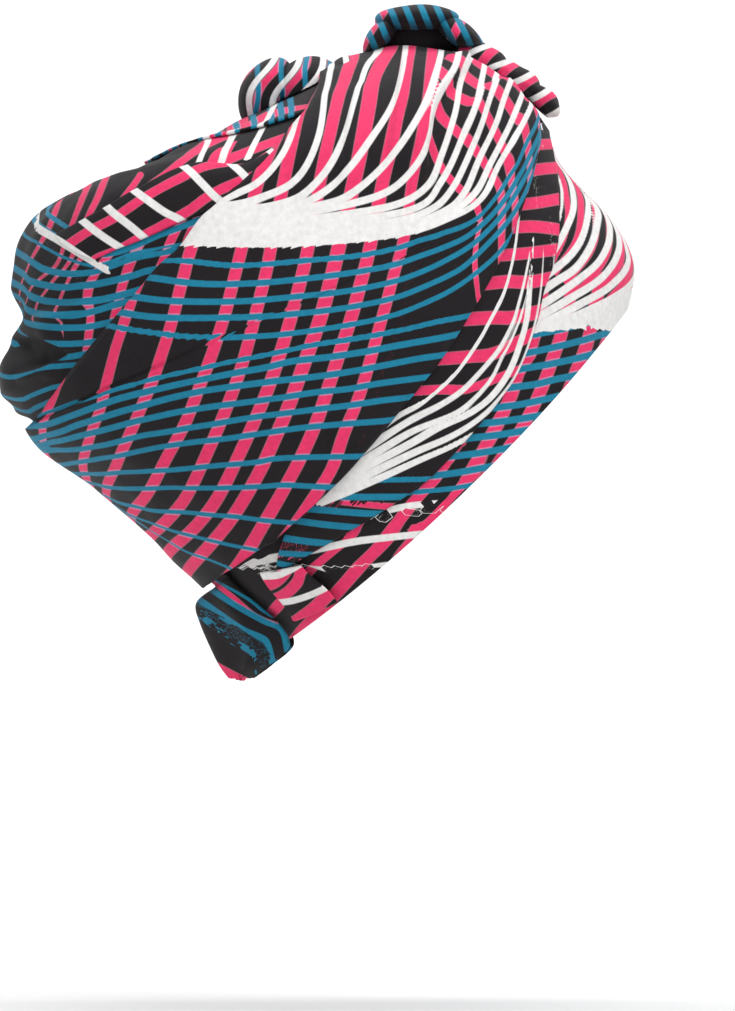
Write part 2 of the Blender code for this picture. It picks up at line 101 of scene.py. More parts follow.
# Sections of the crown form, as in the model.
# Columns: front forward, front up, back forward, back up, rim share, crown share
SECTIONS = (
    (0.987, 0.551, 0.446, 0.062, 1.00, 0.00),
    (0.998, 0.604, 0.343, 0.143, 0.70, 0.30),
    (0.987, 0.645, 0.257, 0.222, 0.40, 0.60),
    (0.957, 0.688, 0.158, 0.300, 0.15, 0.85),
    (0.916, 0.727, 0.064, 0.368, 0.00, 1.00),
    (0.879, 0.764, 0.038, 0.452, 0.00, 1.01),
    (0.860, 0.803, 0.048, 0.549, 0.00, 0.98),
    (0.826, 0.845, 0.078, 0.645, 0.00, 0.92),
    (0.771, 0.885, 0.150, 0.695, 0.00, 0.81),
    (0.696, 0.912, 0.268, 0.752, 0.00, 0.62),
    (0.617, 0.921, 0.385, 0.815, 0.00, 0.36),
    (0.500, 0.886, 0.500, 0.886, 0.00, 0.00),
)
# Swell of the rear puff. Columns: level, share of PUFF_BULGE
PUFF_SWELL = (
    (0.00, 0.00),
    (0.385, 0.00),
    (0.41, 0.50),
    (0.435, 0.95),
    (0.46, 1.00),
    (0.50, 0.55),
    (0.53, 0.25),
    (0.57, 0.90),
    (0.63, 1.05),
    (0.70, 1.00),
    (0.77, 0.60),
    (0.86, 0.30),
    (1.00, 0.10),
)

# The chart is the photograph's frame: x across, y down, 735 by 1011 units.
# The wrap's depth and height cover these spans of it.
CHART_WIDTH = 735
CHART_HEIGHT = 1011
CHART_REAR = 5
CHART_FOOT = 682
CHART_DEPTH = 632
CHART_RISE = 677
CHART_UNIT = DEPTH / CHART_DEPTH

# Highest level and step in level and turn for the slope of the form
SLOPE_LEVEL = 0.985
SLOPE_STEP = 0.004
# Above this level the form has closed to a line, and its slope is taken from a flatter level
TOP_LEVEL = 0.999
FLAT_LEVEL = 0.95
LEAST_RADIUS = 0.004
TINY = 1e-12
# Rounds of halving and of correction when a place on the form is looked for
HALVINGS = 30
CORRECTIONS = 5
EDGE_SAMPLES = 40
UNROLL_SAMPLES = 721

# Camera
LENS = 500
SENSOR = 36
CAMERA_DISTANCE = CHART_HEIGHT * CHART_UNIT * LENS / SENSOR


def unit(vectors):
    """Vectors brought to length 1."""
    return vectors / np.maximum(np.linalg.norm(vectors, axis=-1, keepdims=True), TINY)


def grid_quads(index):
    """Corner numbers of the quads of a grid."""
    quads = np.stack((index[:-1, :-1], index[1:, :-1], index[1:, 1:], index[:-1, 1:]), -1)
    return quads.reshape(-1, 4)


def smooth_step(value):
    share = np.clip(value, 0.0, 1.0)
    return share * share * (3.0 - 2.0 * share)


def along(rows, share):
    """Rows of a table at shares of the way through it, on a smooth curve through them all."""
    table = np.asarray(rows, float)
    spans = len(table) - 1
    place = np.clip(share, 0.0, 1.0) * spans
    index = np.minimum(place.astype(int), spans - 1)
    t = (place - index)[..., None]
    a = table[np.maximum(index - 1, 0)]
    b = table[index]
    c = table[index + 1]
    d = table[np.minimum(index + 2, spans)]
    bend = (c - a) * t + (2 * a - 5 * b + 4 * c - d) * t ** 2 + (3 * b - a - 3 * c + d) * t ** 3
    return b + 0.5 * bend


def table_value(rows, key):
    """Values in the second column at keys in the first, eased between rows."""
    table = np.asarray(rows, float)
    index = np.clip(np.searchsorted(table[:, 0], key) - 1, 0, len(table) - 2)
    low = table[index]
    high = table[index + 1]
    share = smooth_step((key - low[..., 0]) / (high[..., 0] - low[..., 0]))
    return low[..., 1] + (high[..., 1] - low[..., 1]) * share


SEAT_FORWARD = (SECTIONS[0][0] + SECTIONS[0][2]) / 2
SEAT_UP = (SECTIONS[0][1] + SECTIONS[0][3]) / 2


def side_point(forward, up):
    forward = np.asarray(forward, float)
    up = np.asarray(up, float)
    return np.stack((forward * 0, -(forward - SEAT_FORWARD) * DEPTH, (up - SEAT_UP) * HEIGHT), -1)


def chart_flat(points):
    """Chart places of points seen square on from the wearer's right."""
    x = CHART_REAR + (SEAT_FORWARD - points[..., 1] / DEPTH) * CHART_DEPTH
    y = CHART_FOOT - (SEAT_UP + points[..., 2] / HEIGHT) * CHART_RISE
    return np.stack((x, y), -1)


def chart(points):
    """Chart places of points as the camera sees them, with the left side mirrored."""
    middle = np.array((CHART_WIDTH / 2, CHART_HEIGHT / 2))
    nearer = CAMERA_DISTANCE / (CAMERA_DISTANCE - np.abs(points[..., 0]))
    return middle + (chart_flat(points) - middle) * nearer[..., None]


def chart_place(x, y):
    """A point of the middle plane at a chart place."""
    forward = (np.asarray(x, float) - CHART_REAR) / CHART_DEPTH
    up = (CHART_FOOT - np.asarray(y, float)) / CHART_RISE
    return side_point(forward, up)


def section(level):
    row = along(SECTIONS, level)
    half_width = np.maximum((row[..., 4] * RIM_WIDTH + row[..., 5] * CROWN_WIDTH) / 2, 0.0)
    return side_point(row[..., 0], row[..., 1]), side_point(row[..., 2], row[..., 3]), half_width


def rounded(value, power):
    return np.sign(value) * np.abs(value) ** power


def form_point(level, turn):
    """Points of the crown form. turn is 0 at the forehead, pi at the back, by the wearer's right."""
    front, back, half_width = section(level)
    reach = (front - back) / 2
    point = (front + back) / 2 + reach * rounded(np.cos(turn), 2 / OVAL_POWER)[..., None]
    point[..., 0] = -half_width * rounded(np.sin(turn), 2 / OVAL_POWER)
    sag = RIM_SAG * np.sin(turn) ** 2 * np.maximum(1 - level / SAG_TOP, 0.0) ** 2
    below = np.stack((reach[..., 0], reach[..., 2], -reach[..., 1]), -1)
    return point - unit(below) * (np.sign(below[..., 2]) * sag)[..., None]


def form_normal(level, turn):
    """Outward normals of the crown form."""
    step = SLOPE_STEP
    level = np.minimum(level, SLOPE_LEVEL)
    round_it = form_point(level, turn + step) - form_point(level, turn - step)
    up_it = form_point(level + step, turn) - form_point(np.maximum(level - step, 0.0), turn)
    normal = np.cross(up_it, round_it)
    length = np.linalg.norm(normal, axis=-1, keepdims=True)
    return np.where(length > TINY, unit(normal), (0.0, 0.0, 1.0))


def top_normal():
    front, back, _width = section(np.array(FLAT_LEVEL))
    normal = unit(np.cross(front - back, (1.0, 0.0, 0.0)))
    return normal * np.sign(normal[2])


TOP_NORMAL = top_normal()


def lifted(level, turn, lift):
    """Points at a height off the crown form."""
    normal = np.where((level > TOP_LEVEL)[..., None], TOP_NORMAL, form_normal(level, turn))
    return form_point(level, turn) + normal * lift[..., None]


def flat_place(target):
    """Levels and turns at points of the middle plane."""
    low = np.zeros(target.shape[:-1])
    high = np.full(target.shape[:-1], TOP_LEVEL)
    for _step in range(HALVINGS):
        level = (low + high) / 2
        front, back, _width = section(level)
        reach = front - back
        gap = target - back
        above = reach[..., 1] * gap[..., 2] - reach[..., 2] * gap[..., 1] > 0
        high = np.where(above, level, high)
        low = np.where(above, low, level)
    front, back, _width = section(level)
    reach = front - back
    share = 2 * ((target - back) * reach).sum(-1) / (reach ** 2).sum(-1) - 1
    return level, np.arccos(rounded(np.clip(share, -1.0, 1.0), OVAL_POWER / 2))


def on_form(places, height):
    """Levels and turns that show at chart places on a layer of this height."""
    places = np.asarray(places, float)
    target = chart_place(places[..., 0], places[..., 1])
    height = np.full(places.shape[:-1], height)
    for _step in range(CORRECTIONS):
        level, turn = flat_place(target)
        miss = places - chart(lifted(level, turn, height))
        target = target + chart_place(*np.moveaxis(miss, -1, 0)) - chart_place(0, 0)
    return level, turn


def edge(rows, steps, height, start=0.0):
    """Levels and turns at even steps along an edge drawn on the chart."""
    return on_form(along(rows, start + (1 - start) * np.linspace(0, 1, steps + 1)), height)


def turn_for(level, length):
    """The turn that spans a length of cloth round the crown at a level."""
    front, back, half_width = section(np.asarray(level, float))
    radius = np.maximum((half_width + np.linalg.norm(front - back, axis=-1) / 2) / 2, LEAST_RADIUS)
    return length / radius


# Past these turns the print runs on round the front and the back
# at a steady rate, where the side view would squeeze it to nothing.
UNROLL_FRONT = math.radians(18)
UNROLL_BACK = math.radians(25)


def unroll_table():
    """Shares of the reach that the print has run at each turn, from the forehead to the back."""
    turns = np.linspace(0, math.pi, UNROLL_SAMPLES)
    across = rounded(np.cos(turns), 2 / OVAL_POWER)
    aside = rounded(np.sin(turns), 2 / OVAL_POWER)
    run = np.concatenate(((0,), np.cumsum(np.hypot(np.diff(across), np.diff(aside)))))
    ends = (UNROLL_FRONT, math.pi - UNROLL_BACK)
    result = across.copy()
    for limit, side in zip(ends, (-1, 1)):
        at = np.argmin(abs(turns - limit))
        rate = (across[at + 1] - across[at - 1]) / (run[at + 1] - run[at - 1])
        beyond = (turns - turns[at]) * side > 0
        result[beyond] = across[at] + rate * (run[beyond] - run[at])
    return turns, result


UNROLL = unroll_table()


def print_place(level, turn, points):
    """Chart places where the print is read: the side view, unrolled at the front and the back."""
    turn = np.where(turn > math.pi, 2 * math.pi - turn, turn)
    front, back, _width = section(level)
    reach = (front - back) / 2
    extra = np.interp(turn, *UNROLL) - rounded(np.cos(turn), 2 / OVAL_POWER)
    moved = reach * extra[..., None]
    return chart(points) + chart_flat(moved) - chart_flat(moved * 0)


def print_place_round(level, turn, lift):
    """As print_place, but with the print run on round the back to the left side."""
    right = np.minimum(turn, 2 * math.pi - turn)
    places = print_place(level, right, lifted(level, right, lift))
    back = turn * 0 + math.pi
    middle = print_place(level, back, lifted(level, back, lift[:, lift.shape[1] // 2, None] + turn * 0))
    return np.where((turn > math.pi)[..., None], middle * (2, 0) - places * (1, -1), places)


# Stripe families


class Stripes:
    """A family of stripes between guide curves drawn on the chart.

    The guides are joined by a grid. Beyond its first and last guide lies a margin, in which
    the stripes run out, and past that the half width is below 0 and nothing is drawn.
    """

    FINE_SAMPLES = 200
    SAMPLES = 64
    # Samples from an end over which its direction is taken
    LEAD = 4
    # Grid rows for each stripe
    BETWEEN = 10
    # Least and most clear chart units past the edge of the outermost stripe
    MARGIN = 3.0
    WIDE_MARGIN = 8.0
    # Rows of the margin, as stripe numbers past the outermost guide
    MARGIN_ROWS = (0.02, 0.5, 1.0)
    # Half width lost for each stripe number past the last one drawn
    FADE = 40.0
    # Chart units over which a stripe runs out past the reach of its guide
    END_FADE = 6.0
    HIDDEN_WIDTH = -20.0
    # A place this far from the grid is outside it
    OUTSIDE = 0.5
    LEAST_GAP = 0.2
    ROUNDS = 4
    SMALLEST_CELL = 1e-6
    # How far a place may lie past its cell, in shares of it
    LOWEST_SHARE = -0.3
    HIGHEST_SHARE = 1.3

    def __init__(self, guides, reach=(160, 160), drawn=None, more=(0, 0)):
        """guides: number, half width at the start and at the end, then places on the chart.

        reach: how far the guides run on before their start and after their end.
        drawn: first and last number drawn. more: stripes repeated before the first and after the last.
        """
        curves = np.array([self.curve(guide[3:], *reach) for guide in guides])
        steps = (len(guides) - 1) * self.BETWEEN
        shares = np.linspace(0, 1, steps + 1)
        spots = along(curves.reshape(len(guides), -1), shares).reshape(steps + 1, -1, 2)
        ends = along([guide[1:3] for guide in guides], shares)
        t = np.linspace(0, 1, spots.shape[1])
        width = ends[:, :1] + (ends[:, 1:] - ends[:, :1]) * t
        width[:, (0, -1)] = self.HIDDEN_WIDTH
        number = guides[0][0] + np.arange(steps + 1) / self.BETWEEN
        for repeats, end, step in ((more[0], 0, -1), (more[1], -1, 1)):
            gap = spots[end] - spots[end - step]
            for _step in range(repeats * self.BETWEEN):
                spots = self.grow(spots, spots[end] + gap, end)
                width = self.grow(width, width[end], end)
                number = self.grow(number, number[end] + step / self.BETWEEN, end)
        rate = self.rates(spots, number)
        if drawn:
            beyond = np.maximum(drawn[0] - 0.5 - number, number - drawn[1] - 0.5)
            width = width - self.FADE * np.maximum(beyond, 0.0)[:, None]
        for end, step in ((0, -1), (-1, 1)):
            outward = unit(spots[end] - spots[end - step])
            base, start, line = spots[end], number[end], width[end]
            wide = 0.5 / (line.max() + self.WIDE_MARGIN)
            margin_rate = np.clip(rate[end], wide, 0.5 / (line.max() + self.MARGIN))
            for share in self.MARGIN_ROWS:
                spots = self.grow(spots, base + outward * (share / margin_rate)[:, None], end)
                width = self.grow(width, line - max(share - 0.5, 0.0) * 2 / margin_rate, end)
                number = self.grow(number, start + step * share, end)
                rate = self.grow(rate, margin_rate, end)
        self.spots = spots
        self.number = number
        self.rate = rate
        self.width = width
        self.tree = self.search_tree()

    @staticmethod
    def grow(rows, row, end):
        """The rows with one more before the first or after the last."""
        row = np.asarray(row)[None]
        return np.concatenate((row, rows) if end == 0 else (rows, row))

    def curve(self, places, before, after):
        """Even samples of one guide, run on straight before its start and after its end."""
        places = np.asarray(places, float)
        fine = along(places, np.linspace(0, 1, self.FINE_SAMPLES))
        start = fine[0] - unit(fine[self.LEAD] - fine[0]) * before
        end = fine[-1] + unit(fine[-1] - fine[-1 - self.LEAD]) * after
        run = np.concatenate(((0,), np.cumsum(np.linalg.norm(np.diff(fine, axis=0), axis=1))))
        even = np.linspace(0, run[-1], self.SAMPLES)
        middle = np.stack([np.interp(even, run, fine[:, axis]) for axis in (0, 1)], -1)
        last = start + (start - middle[0]) / max(before, 1.0) * self.END_FADE
        past = end + (end - middle[-1]) / max(after, 1.0) * self.END_FADE
        return np.concatenate((last[None], start[None], middle, end[None], past[None]))

    def rates(self, spots, number):
        """Stripe numbers per chart unit, square across the stripes."""
        across = np.gradient(spots, axis=0)
        step = np.gradient(number)[:, None]
        run = unit(np.gradient(spots, axis=1))
        gap = np.abs(across[..., 0] * run[..., 1] - across[..., 1] * run[..., 0])
        return np.abs(step) / np.maximum(gap, self.LEAST_GAP * np.abs(step))

    def search_tree(self):
        shape = self.spots.shape[:2]
        flat = [(x, y, 0.0) for x, y in self.spots.reshape(-1, 2)]
        quads = grid_quads(np.arange(len(flat)).reshape(shape))
        return BVHTree.FromPolygons(flat, quads[:, (0, 3, 2, 1)].tolist())

    def read(self, places):
        """Stripe number, half width and numbers per chart unit at chart places."""
        columns = self.spots.shape[1] - 1
        found = [self.tree.find_nearest((x, y, 0.0))[2:] for x, y in places]
        row, column = np.divmod(np.array([index for index, _distance in found]), columns)
        outside = np.array([distance for _index, distance in found]) > self.OUTSIDE
        cells = ((0, 0), (0, 1), (1, 0), (1, 1))
        corner = [self.spots[row + i, column + j] for i, j in cells]
        s = np.full(len(places), 0.5)
        t = np.full(len(places), 0.5)
        for _step in range(self.ROUNDS):
            miss = places - self.blend(corner, s, t)
            ds = (corner[2] - corner[0]) * (1 - t)[:, None] + (corner[3] - corner[1]) * t[:, None]
            dt = (corner[1] - corner[0]) * (1 - s)[:, None] + (corner[3] - corner[2]) * s[:, None]
            size = ds[:, 0] * dt[:, 1] - ds[:, 1] * dt[:, 0]
            size = np.where(np.abs(size) < self.SMALLEST_CELL, self.SMALLEST_CELL, size)
            s = s + (miss[:, 0] * dt[:, 1] - miss[:, 1] * dt[:, 0]) / size
            t = t + (ds[:, 0] * miss[:, 1] - ds[:, 1] * miss[:, 0]) / size
            s, t = np.clip((s, t), self.LOWEST_SHARE, self.HIGHEST_SHARE)
        number = self.number[row] + (self.number[row + 1] - self.number[row]) * s
        width = self.blend([self.width[row + i, column + j] for i, j in cells], s, t)
        rate = self.blend([self.rate[row + i, column + j] for i, j in cells], s, t)
        width = np.where(outside, self.HIDDEN_WIDTH, width)
        return np.stack((number, width, rate), -1)

    @staticmethod
    def blend(corner, s, t):
        if corner[0].ndim == 2:
            s = s[:, None]
            t = t[:, None]
        low = corner[0] + (corner[1] - corner[0]) * t
        high = corner[2] + (corner[3] - corner[2]) * t
        return low + (high - low) * s


# Guides of the print. Each row: number, half width at the start and end, places on the chart.

SIDE_BLUE = (
    (1, 3.4, 2.6, (163, 260), (188, 261), (240, 265), (311, 260), (356, 256), (392, 249.5), (419, 241),
     (445, 233), (472, 222), (489, 205), (510, 175), (526, 143), (537, 120), (541, 103)),
    (2, 3.4, 2.2, (145, 277), (196, 283.5), (250, 283.5), (294, 280), (347, 273.5), (392, 265.5), (419, 256.5),
     (445, 247), (468, 236), (489, 218), (508, 194), (524, 167), (539, 135), (545, 111)),
    (3, 3.4, 2.1, (128, 296), (170, 301), (240, 301.5), (294, 297), (347, 291), (392, 282), (419, 273),
     (445, 261), (472, 245), (496, 222), (515, 195), (534, 162), (544, 135), (549, 118)),
    (4, 3.4, 2.2, (118, 312), (161, 317.5), (240, 317.5), (294, 314), (347, 307.5), (392, 298.5), (419, 289),
     (454, 273), (472, 260), (502, 229), (521, 202), (539, 167), (549, 145), (554, 126)),
    (5, 3.4, 2.4, (105, 326), (152, 333), (205, 338), (276, 335), (347, 325), (392, 315.5), (419, 305.5),
     (454, 289), (489, 263), (509, 241), (528, 211), (540, 184), (552, 158), (560, 138)),
)
SIDE_LOW_BLUE = (
    (6, 3.3, 3.4, (34, 416), (50, 411), (81, 400), (112, 390), (151, 379), (205, 367.5), (260, 356),
     (311, 345), (347, 339.5), (374, 335), (401, 330), (436, 322), (469, 316)),
    (7, 3.3, 3.3, (23, 429), (43, 426), (66, 418), (97, 406), (127, 396), (158, 389), (205, 379.5), (260, 369),
     (294, 361), (329, 357), (365, 351.5), (401, 345), (436, 339), (458, 335)),
    (8, 3.2, 3.2, (35, 440), (58, 433), (81, 424), (112, 413.5), (142, 405), (173, 398), (204, 392), (240, 386.5),
     (276, 381), (311, 377), (347, 372), (383, 365.5), (419, 359), (442, 356)),
    (9, 3.0, 3.1, (40, 447), (74, 438), (104, 429), (135, 420.5), (165, 414.5), (196, 410), (240, 404),
     (276, 398.5), (311, 393), (347, 389), (383, 383), (428, 378)),
    (10, 2.8, 3.0, (49, 454), (81, 450), (112, 442), (142, 434.5), (173, 430.5), (204, 426.5), (240, 420.5),
     (276, 415), (311, 410), (347, 405.5), (383, 400.5), (411, 398)),
    (11, 2.5, 3.0, (72, 466), (97, 460), (127, 453), (158, 447), (188, 443.5), (219, 440.5), (256, 435.5),
     (276, 432), (311, 427), (347, 423.5), (394, 420)),
    (12, 2.2, 2.9, (86, 478), (115, 474), (150, 471), (188, 468.5), (219, 466), (258, 462), (276, 459),
     (311, 457), (363, 456.5)),
    (13, 2.0, 2.8, (106, 490), (142, 489), (188, 488), (227, 488), (260, 487), (285, 485), (333, 486)),
    (14, 1.8, 2.7, (130, 508), (158, 511), (188, 513), (219, 516), (260, 519.5), (305, 523), (330, 525)),
    (15, 1.2, 1.9, (135, 521), (165, 528), (196, 536), (227, 544.5), (260, 552), (280, 557)),
    (16, 0.9, 1.5, (148, 534), (170, 543), (187, 550), (204, 557), (227, 567.5), (247, 578)),
)
SIDE_PINK = (
    (0, 5.6, 4.6, (110, 20), (104, 90), (110, 160), (96, 240), (78, 310), (66, 350), (56, 388), (43, 420), (37, 444)),
    (1, 5.8, 4.6, (210, 20), (190, 90), (170, 160), (152, 230), (138, 280), (130, 305), (122, 328), (114, 353),
     (107, 382), (101, 408), (93, 428), (87, 445), (79, 469)),
    (2, 6.0, 5.0, (262, 30), (252, 80), (232, 140), (210, 195), (190, 253), (185, 273), (180, 291), (171, 326),
     (157, 369), (151, 385), (138, 416), (126, 443), (112, 474), (98, 497)),
    (3, 5.6, 5.4, (294, 40), (288, 90), (270, 147), (258, 180), (240, 253), (234, 275), (225, 312), (213, 350),
     (198, 390), (185, 423), (167, 457), (147, 494), (129, 514), (115, 530)),
    (4, 5.6, 5.6, (322, 40), (311, 80), (299, 115), (286, 172), (270, 253), (266, 273), (257, 309), (247, 348),
     (237, 380), (224, 414), (207, 453), (187, 495), (167, 520), (148, 536)),
    (5, 5.8, 5.8, (356, 40), (343, 80), (335, 112), (321, 176), (307, 252), (298, 290), (288, 327), (272, 377),
     (259, 410), (243, 446), (219, 495), (196, 526), (170, 549), (155, 562)),
    (6, 7.2, 5.8, (390, 42), (375, 74), (368, 112), (355, 176), (338, 250), (329, 286), (319, 322), (302, 370),
     (289, 406), (274, 441), (258, 475), (233, 517), (207, 549), (185, 572)),
    (7, 6.0, 6.0, (411, 40), (402, 98), (395, 125), (384, 175), (370, 247), (361, 281), (351, 318), (336, 364),
     (318, 418), (301, 457), (283, 491), (260, 530), (240, 562), (225, 580)),
    (8, 4.6, 6.0, (434, 40), (428, 89), (424, 115), (414, 165), (404, 238), (394, 274), (384, 311), (370, 361),
     (359, 397), (344, 434), (333, 466), (316, 494), (300, 518), (285, 540)),
    (9, 6.6, 5.0, (462, 40), (458, 67), (452, 100), (448, 165), (440, 238), (432, 274), (422, 311), (408, 361),
     (397, 397), (382, 434), (371, 466), (354, 494), (338, 518), (323, 540)),
)
FRONT_PINK = (
    (1, 5.0, 2.8, (424, 116), (431, 145), (446, 174), (472, 202), (478, 221), (476, 242), (475, 262), (478, 290),
     (481, 302)),
    (2, 5.0, 2.8, (433, 98), (441, 117), (457, 132), (475, 149), (494, 179), (500, 200), (501, 220), (502, 245),
     (503, 260)),
    (3, 5.0, 2.8, (436, 78), (452, 96), (475, 108), (492, 127), (506, 154), (513, 190), (516, 215), (517, 235),
     (518, 250)),
    (4, 5.0, 2.8, (450, 66), (474, 84), (497, 97), (512, 112), (524, 134), (531, 170), (533, 190), (534, 205),
     (535, 220)),
    (5, 5.0, 2.8, (470, 60), (494, 76), (517, 90), (530, 103), (540, 125), (546, 160), (548, 175), (549, 190),
     (550, 205)),
)
SIDE_WHITE = (
    (1, 4.3, 2.7, (216, 203), (232, 196), (259, 182), (281, 156), (295, 124), (300, 90), (306, 60)),
    (2, 4.3, 2.7, (213, 207), (240, 204), (262, 197), (290, 184), (308, 163), (320, 131), (326, 89), (332, 60)),
    (3, 4.3, 2.7, (210, 211), (255, 208), (285, 202), (306, 192), (328, 169), (344, 138), (356, 100), (365, 66),
     (374, 52)),
    (4, 4.3, 2.7, (206, 215), (260, 211), (300, 203), (322, 194), (347, 173), (373, 138), (393, 105), (402, 76),
     (406, 42)),
    (5, 4.3, 2.7, (203, 219), (270, 213), (330, 203), (358, 190), (386, 164), (409, 134), (426, 103), (438, 67),
     (443, 38)),
    (6, 4.3, 2.7, (199, 222), (280, 216), (345, 206), (388, 192), (414, 168), (427, 140), (434, 107), (452, 76),
     (458, 50)),
    (7, 4.3, 2.7, (196, 226), (290, 221), (370, 211), (408, 200), (430, 182), (442, 154), (454, 116), (460, 84),
     (470, 60)),
    (8, 4.3, 2.7, (193, 230), (300, 225), (385, 216), (424, 204), (440, 184), (453, 161), (467, 125), (478, 94),
     (484, 66)),
    (9, 4.3, 2.7, (190, 233), (300, 230), (390, 222), (432, 209), (452, 189), (467, 161), (479, 129), (488, 100),
     (496, 76)),
    (10, 4.3, 2.7, (187, 237), (300, 235), (395, 227), (442, 212), (464, 193), (482, 154), (496, 123), (505, 92),
     (514, 70)),
    (11, 4.3, 2.7, (184, 240), (300, 239), (398, 231), (446, 215), (474, 194), (492, 161), (509, 127), (520, 98),
     (528, 76)),
    (12, 4.3, 2.7, (181, 243), (300, 243), (400, 234), (448, 219), (479, 200), (500, 163), (516, 134), (531, 102),
     (540, 80)),
)
SECOND_WHITE = (
    (1, 4.6, 2.4, (330, 470), (360, 446), (395, 418), (420, 404), (434, 393), (456, 372), (477, 343), (492, 316),
     (505, 288), (514, 250), (519, 205), (522, 170)),
    (2, 4.6, 0.8, (330, 476), (362, 452), (400, 427), (420, 416), (441, 405), (463, 390), (485, 367), (500, 348),
     (513, 323), (520, 300), (525, 280), (530, 255)),
    (3, 4.6, 0.0, (332, 481), (366, 459), (404, 436), (420, 428), (456, 413), (477, 396), (492, 378), (502, 358),
     (512, 338), (520, 318), (526, 300), (532, 275)),
    (4, 4.6, 2.4, (336, 485), (370, 465), (410, 444), (440, 427), (470, 413), (492, 396), (509, 372), (520, 344),
     (527, 318), (530, 288), (531, 262), (532, 240)),
    (5, 4.6, 0.0, (340, 489), (376, 471), (416, 452), (450, 437), (478, 420), (498, 402), (516, 378), (528, 350),
     (536, 322), (541, 290), (543, 262), (544, 240)),
    (6, 4.6, 0.0, (344, 493), (382, 477), (420, 460), (452, 446), (484, 428), (506, 408), (524, 384), (536, 356),
     (545, 326), (551, 294), (554, 262), (555, 240)),
)
SECOND_EDGE_WHITE = (
    (0, 0.0, 0.0, (526, 340), (519, 300), (522, 270), (528, 240), (530, 215), (528, 190), (526, 160), (526, 130)),
    (1, 0.6, 4.0, (551, 330), (553, 295), (551, 272), (549, 250), (545, 222), (544, 192), (541, 160), (540, 130)),
    (2, 0.0, 3.0, (576, 330), (580, 300), (578, 270), (572, 240), (566, 215), (562, 190), (560, 160), (558, 130)),
)
SECOND_RUNGS = (
    (1, 5.5, 5.5, (520, 147), (545, 145), (575, 141)),
    (2, 5.5, 5.5, (515, 173), (545, 169), (575, 167)),
    (3, 5.5, 5.5, (505, 206), (540, 202), (575, 196)),
    (4, 5.5, 5.5, (500, 229), (535, 227), (575, 231)),
    (5, 5.5, 5.5, (490, 256), (530, 253), (570, 248)),
    (6, 6.0, 6.0, (470, 286), (505, 282), (530, 282), (560, 276)),
    (7, 6.5, 6.0, (440, 321), (490, 318), (515, 317), (550, 308)),
    (8, 6.0, 6.0, (410, 361), (468, 357), (495, 353), (530, 336)),
    (9, 6.0, 5.0, (380, 394), (440, 390), (470, 389), (510, 374)),
)
SECOND_BLUE = (
    (1, 3.3, 3.3, (300, 484), (339, 482), (380, 480), (425, 479), (460, 478)),
    (2, 3.3, 3.3, (290, 495), (323, 496), (360, 497), (401, 497), (440, 497)),
    (3, 3.3, 3.3, (280, 507), (310, 509), (345, 512), (376, 514), (410, 516)),
    (4, 3.3, 3.3, (270, 519), (296, 521), (326, 525), (357, 528), (390, 532)),
    (5, 3.3, 3.3, (250, 533), (278, 537), (304, 541), (330, 544), (360, 548)),
    (6, 2.8, 2.8, (240, 548), (264, 551), (288, 553.5), (312, 555), (340, 558)),
    (7, 2.8, 2.8, (232, 554), (255, 557.5), (275, 562.5), (294, 566.5), (320, 572)),
    (8, 2.8, 2.8, (220, 562), (242, 566.5), (258, 570), (273, 573), (300, 580)),
)
SECOND_LOW_PINK = (
    (0, 0.0, 0.0, (300, 480), (340, 482), (400, 486), (440, 488)),
    (1, 1.6, 3.4, (300, 499), (325, 500.5), (360, 504), (392, 507)),
    (2, 0.0, 0.0, (280, 520), (310, 522), (340, 527), (370, 532)),
    (3, 0.0, 0.0, (260, 540), (285, 542), (310, 546), (340, 551)),
    (4, 1.2, 1.6, (240, 550), (262, 553), (285, 557.5), (306, 563)),
    (5, 0.0, 0.0, (230, 570), (255, 573), (280, 577), (300, 581)),
)
BROW_BLUE = (
    (0, 3.4, 3.4, (500, 341), (535, 335), (563, 329.5), (592, 322), (621, 311.5), (634, 305)),
    (1, 3.4, 3.4, (495, 359), (528, 353), (556, 347), (585, 340), (608, 333), (630, 325)),
    (2, 3.4, 3.4, (485, 376), (520, 369.5), (549, 364.5), (575, 359), (591, 355), (620, 346)),
    (3, 3.4, 3.4, (480, 392), (509, 388), (535, 384.5), (556, 379.5), (573, 376), (600, 369)),
    (4, 3.4, 3.4, (470, 411), (498, 407.5), (520, 404.5), (542, 400), (555, 397), (585, 390)),
    (5, 3.4, 3.4, (455, 426), (483, 423.5), (506, 421), (538, 416), (570, 410)),
    (6, 3.4, 3.4, (440, 442), (469, 438.5), (499, 435), (523, 431), (560, 425)),
    (7, 3.4, 3.4, (420, 459), (451, 456.5), (477, 453.5), (506, 448.5), (545, 441)),
    (8, 3.4, 3.4, (400, 478), (429, 476), (456, 473), (489, 467), (520, 461)),
    (9, 3.4, 3.4, (380, 496), (415, 493), (449, 489.5), (470, 486), (500, 481)),
)
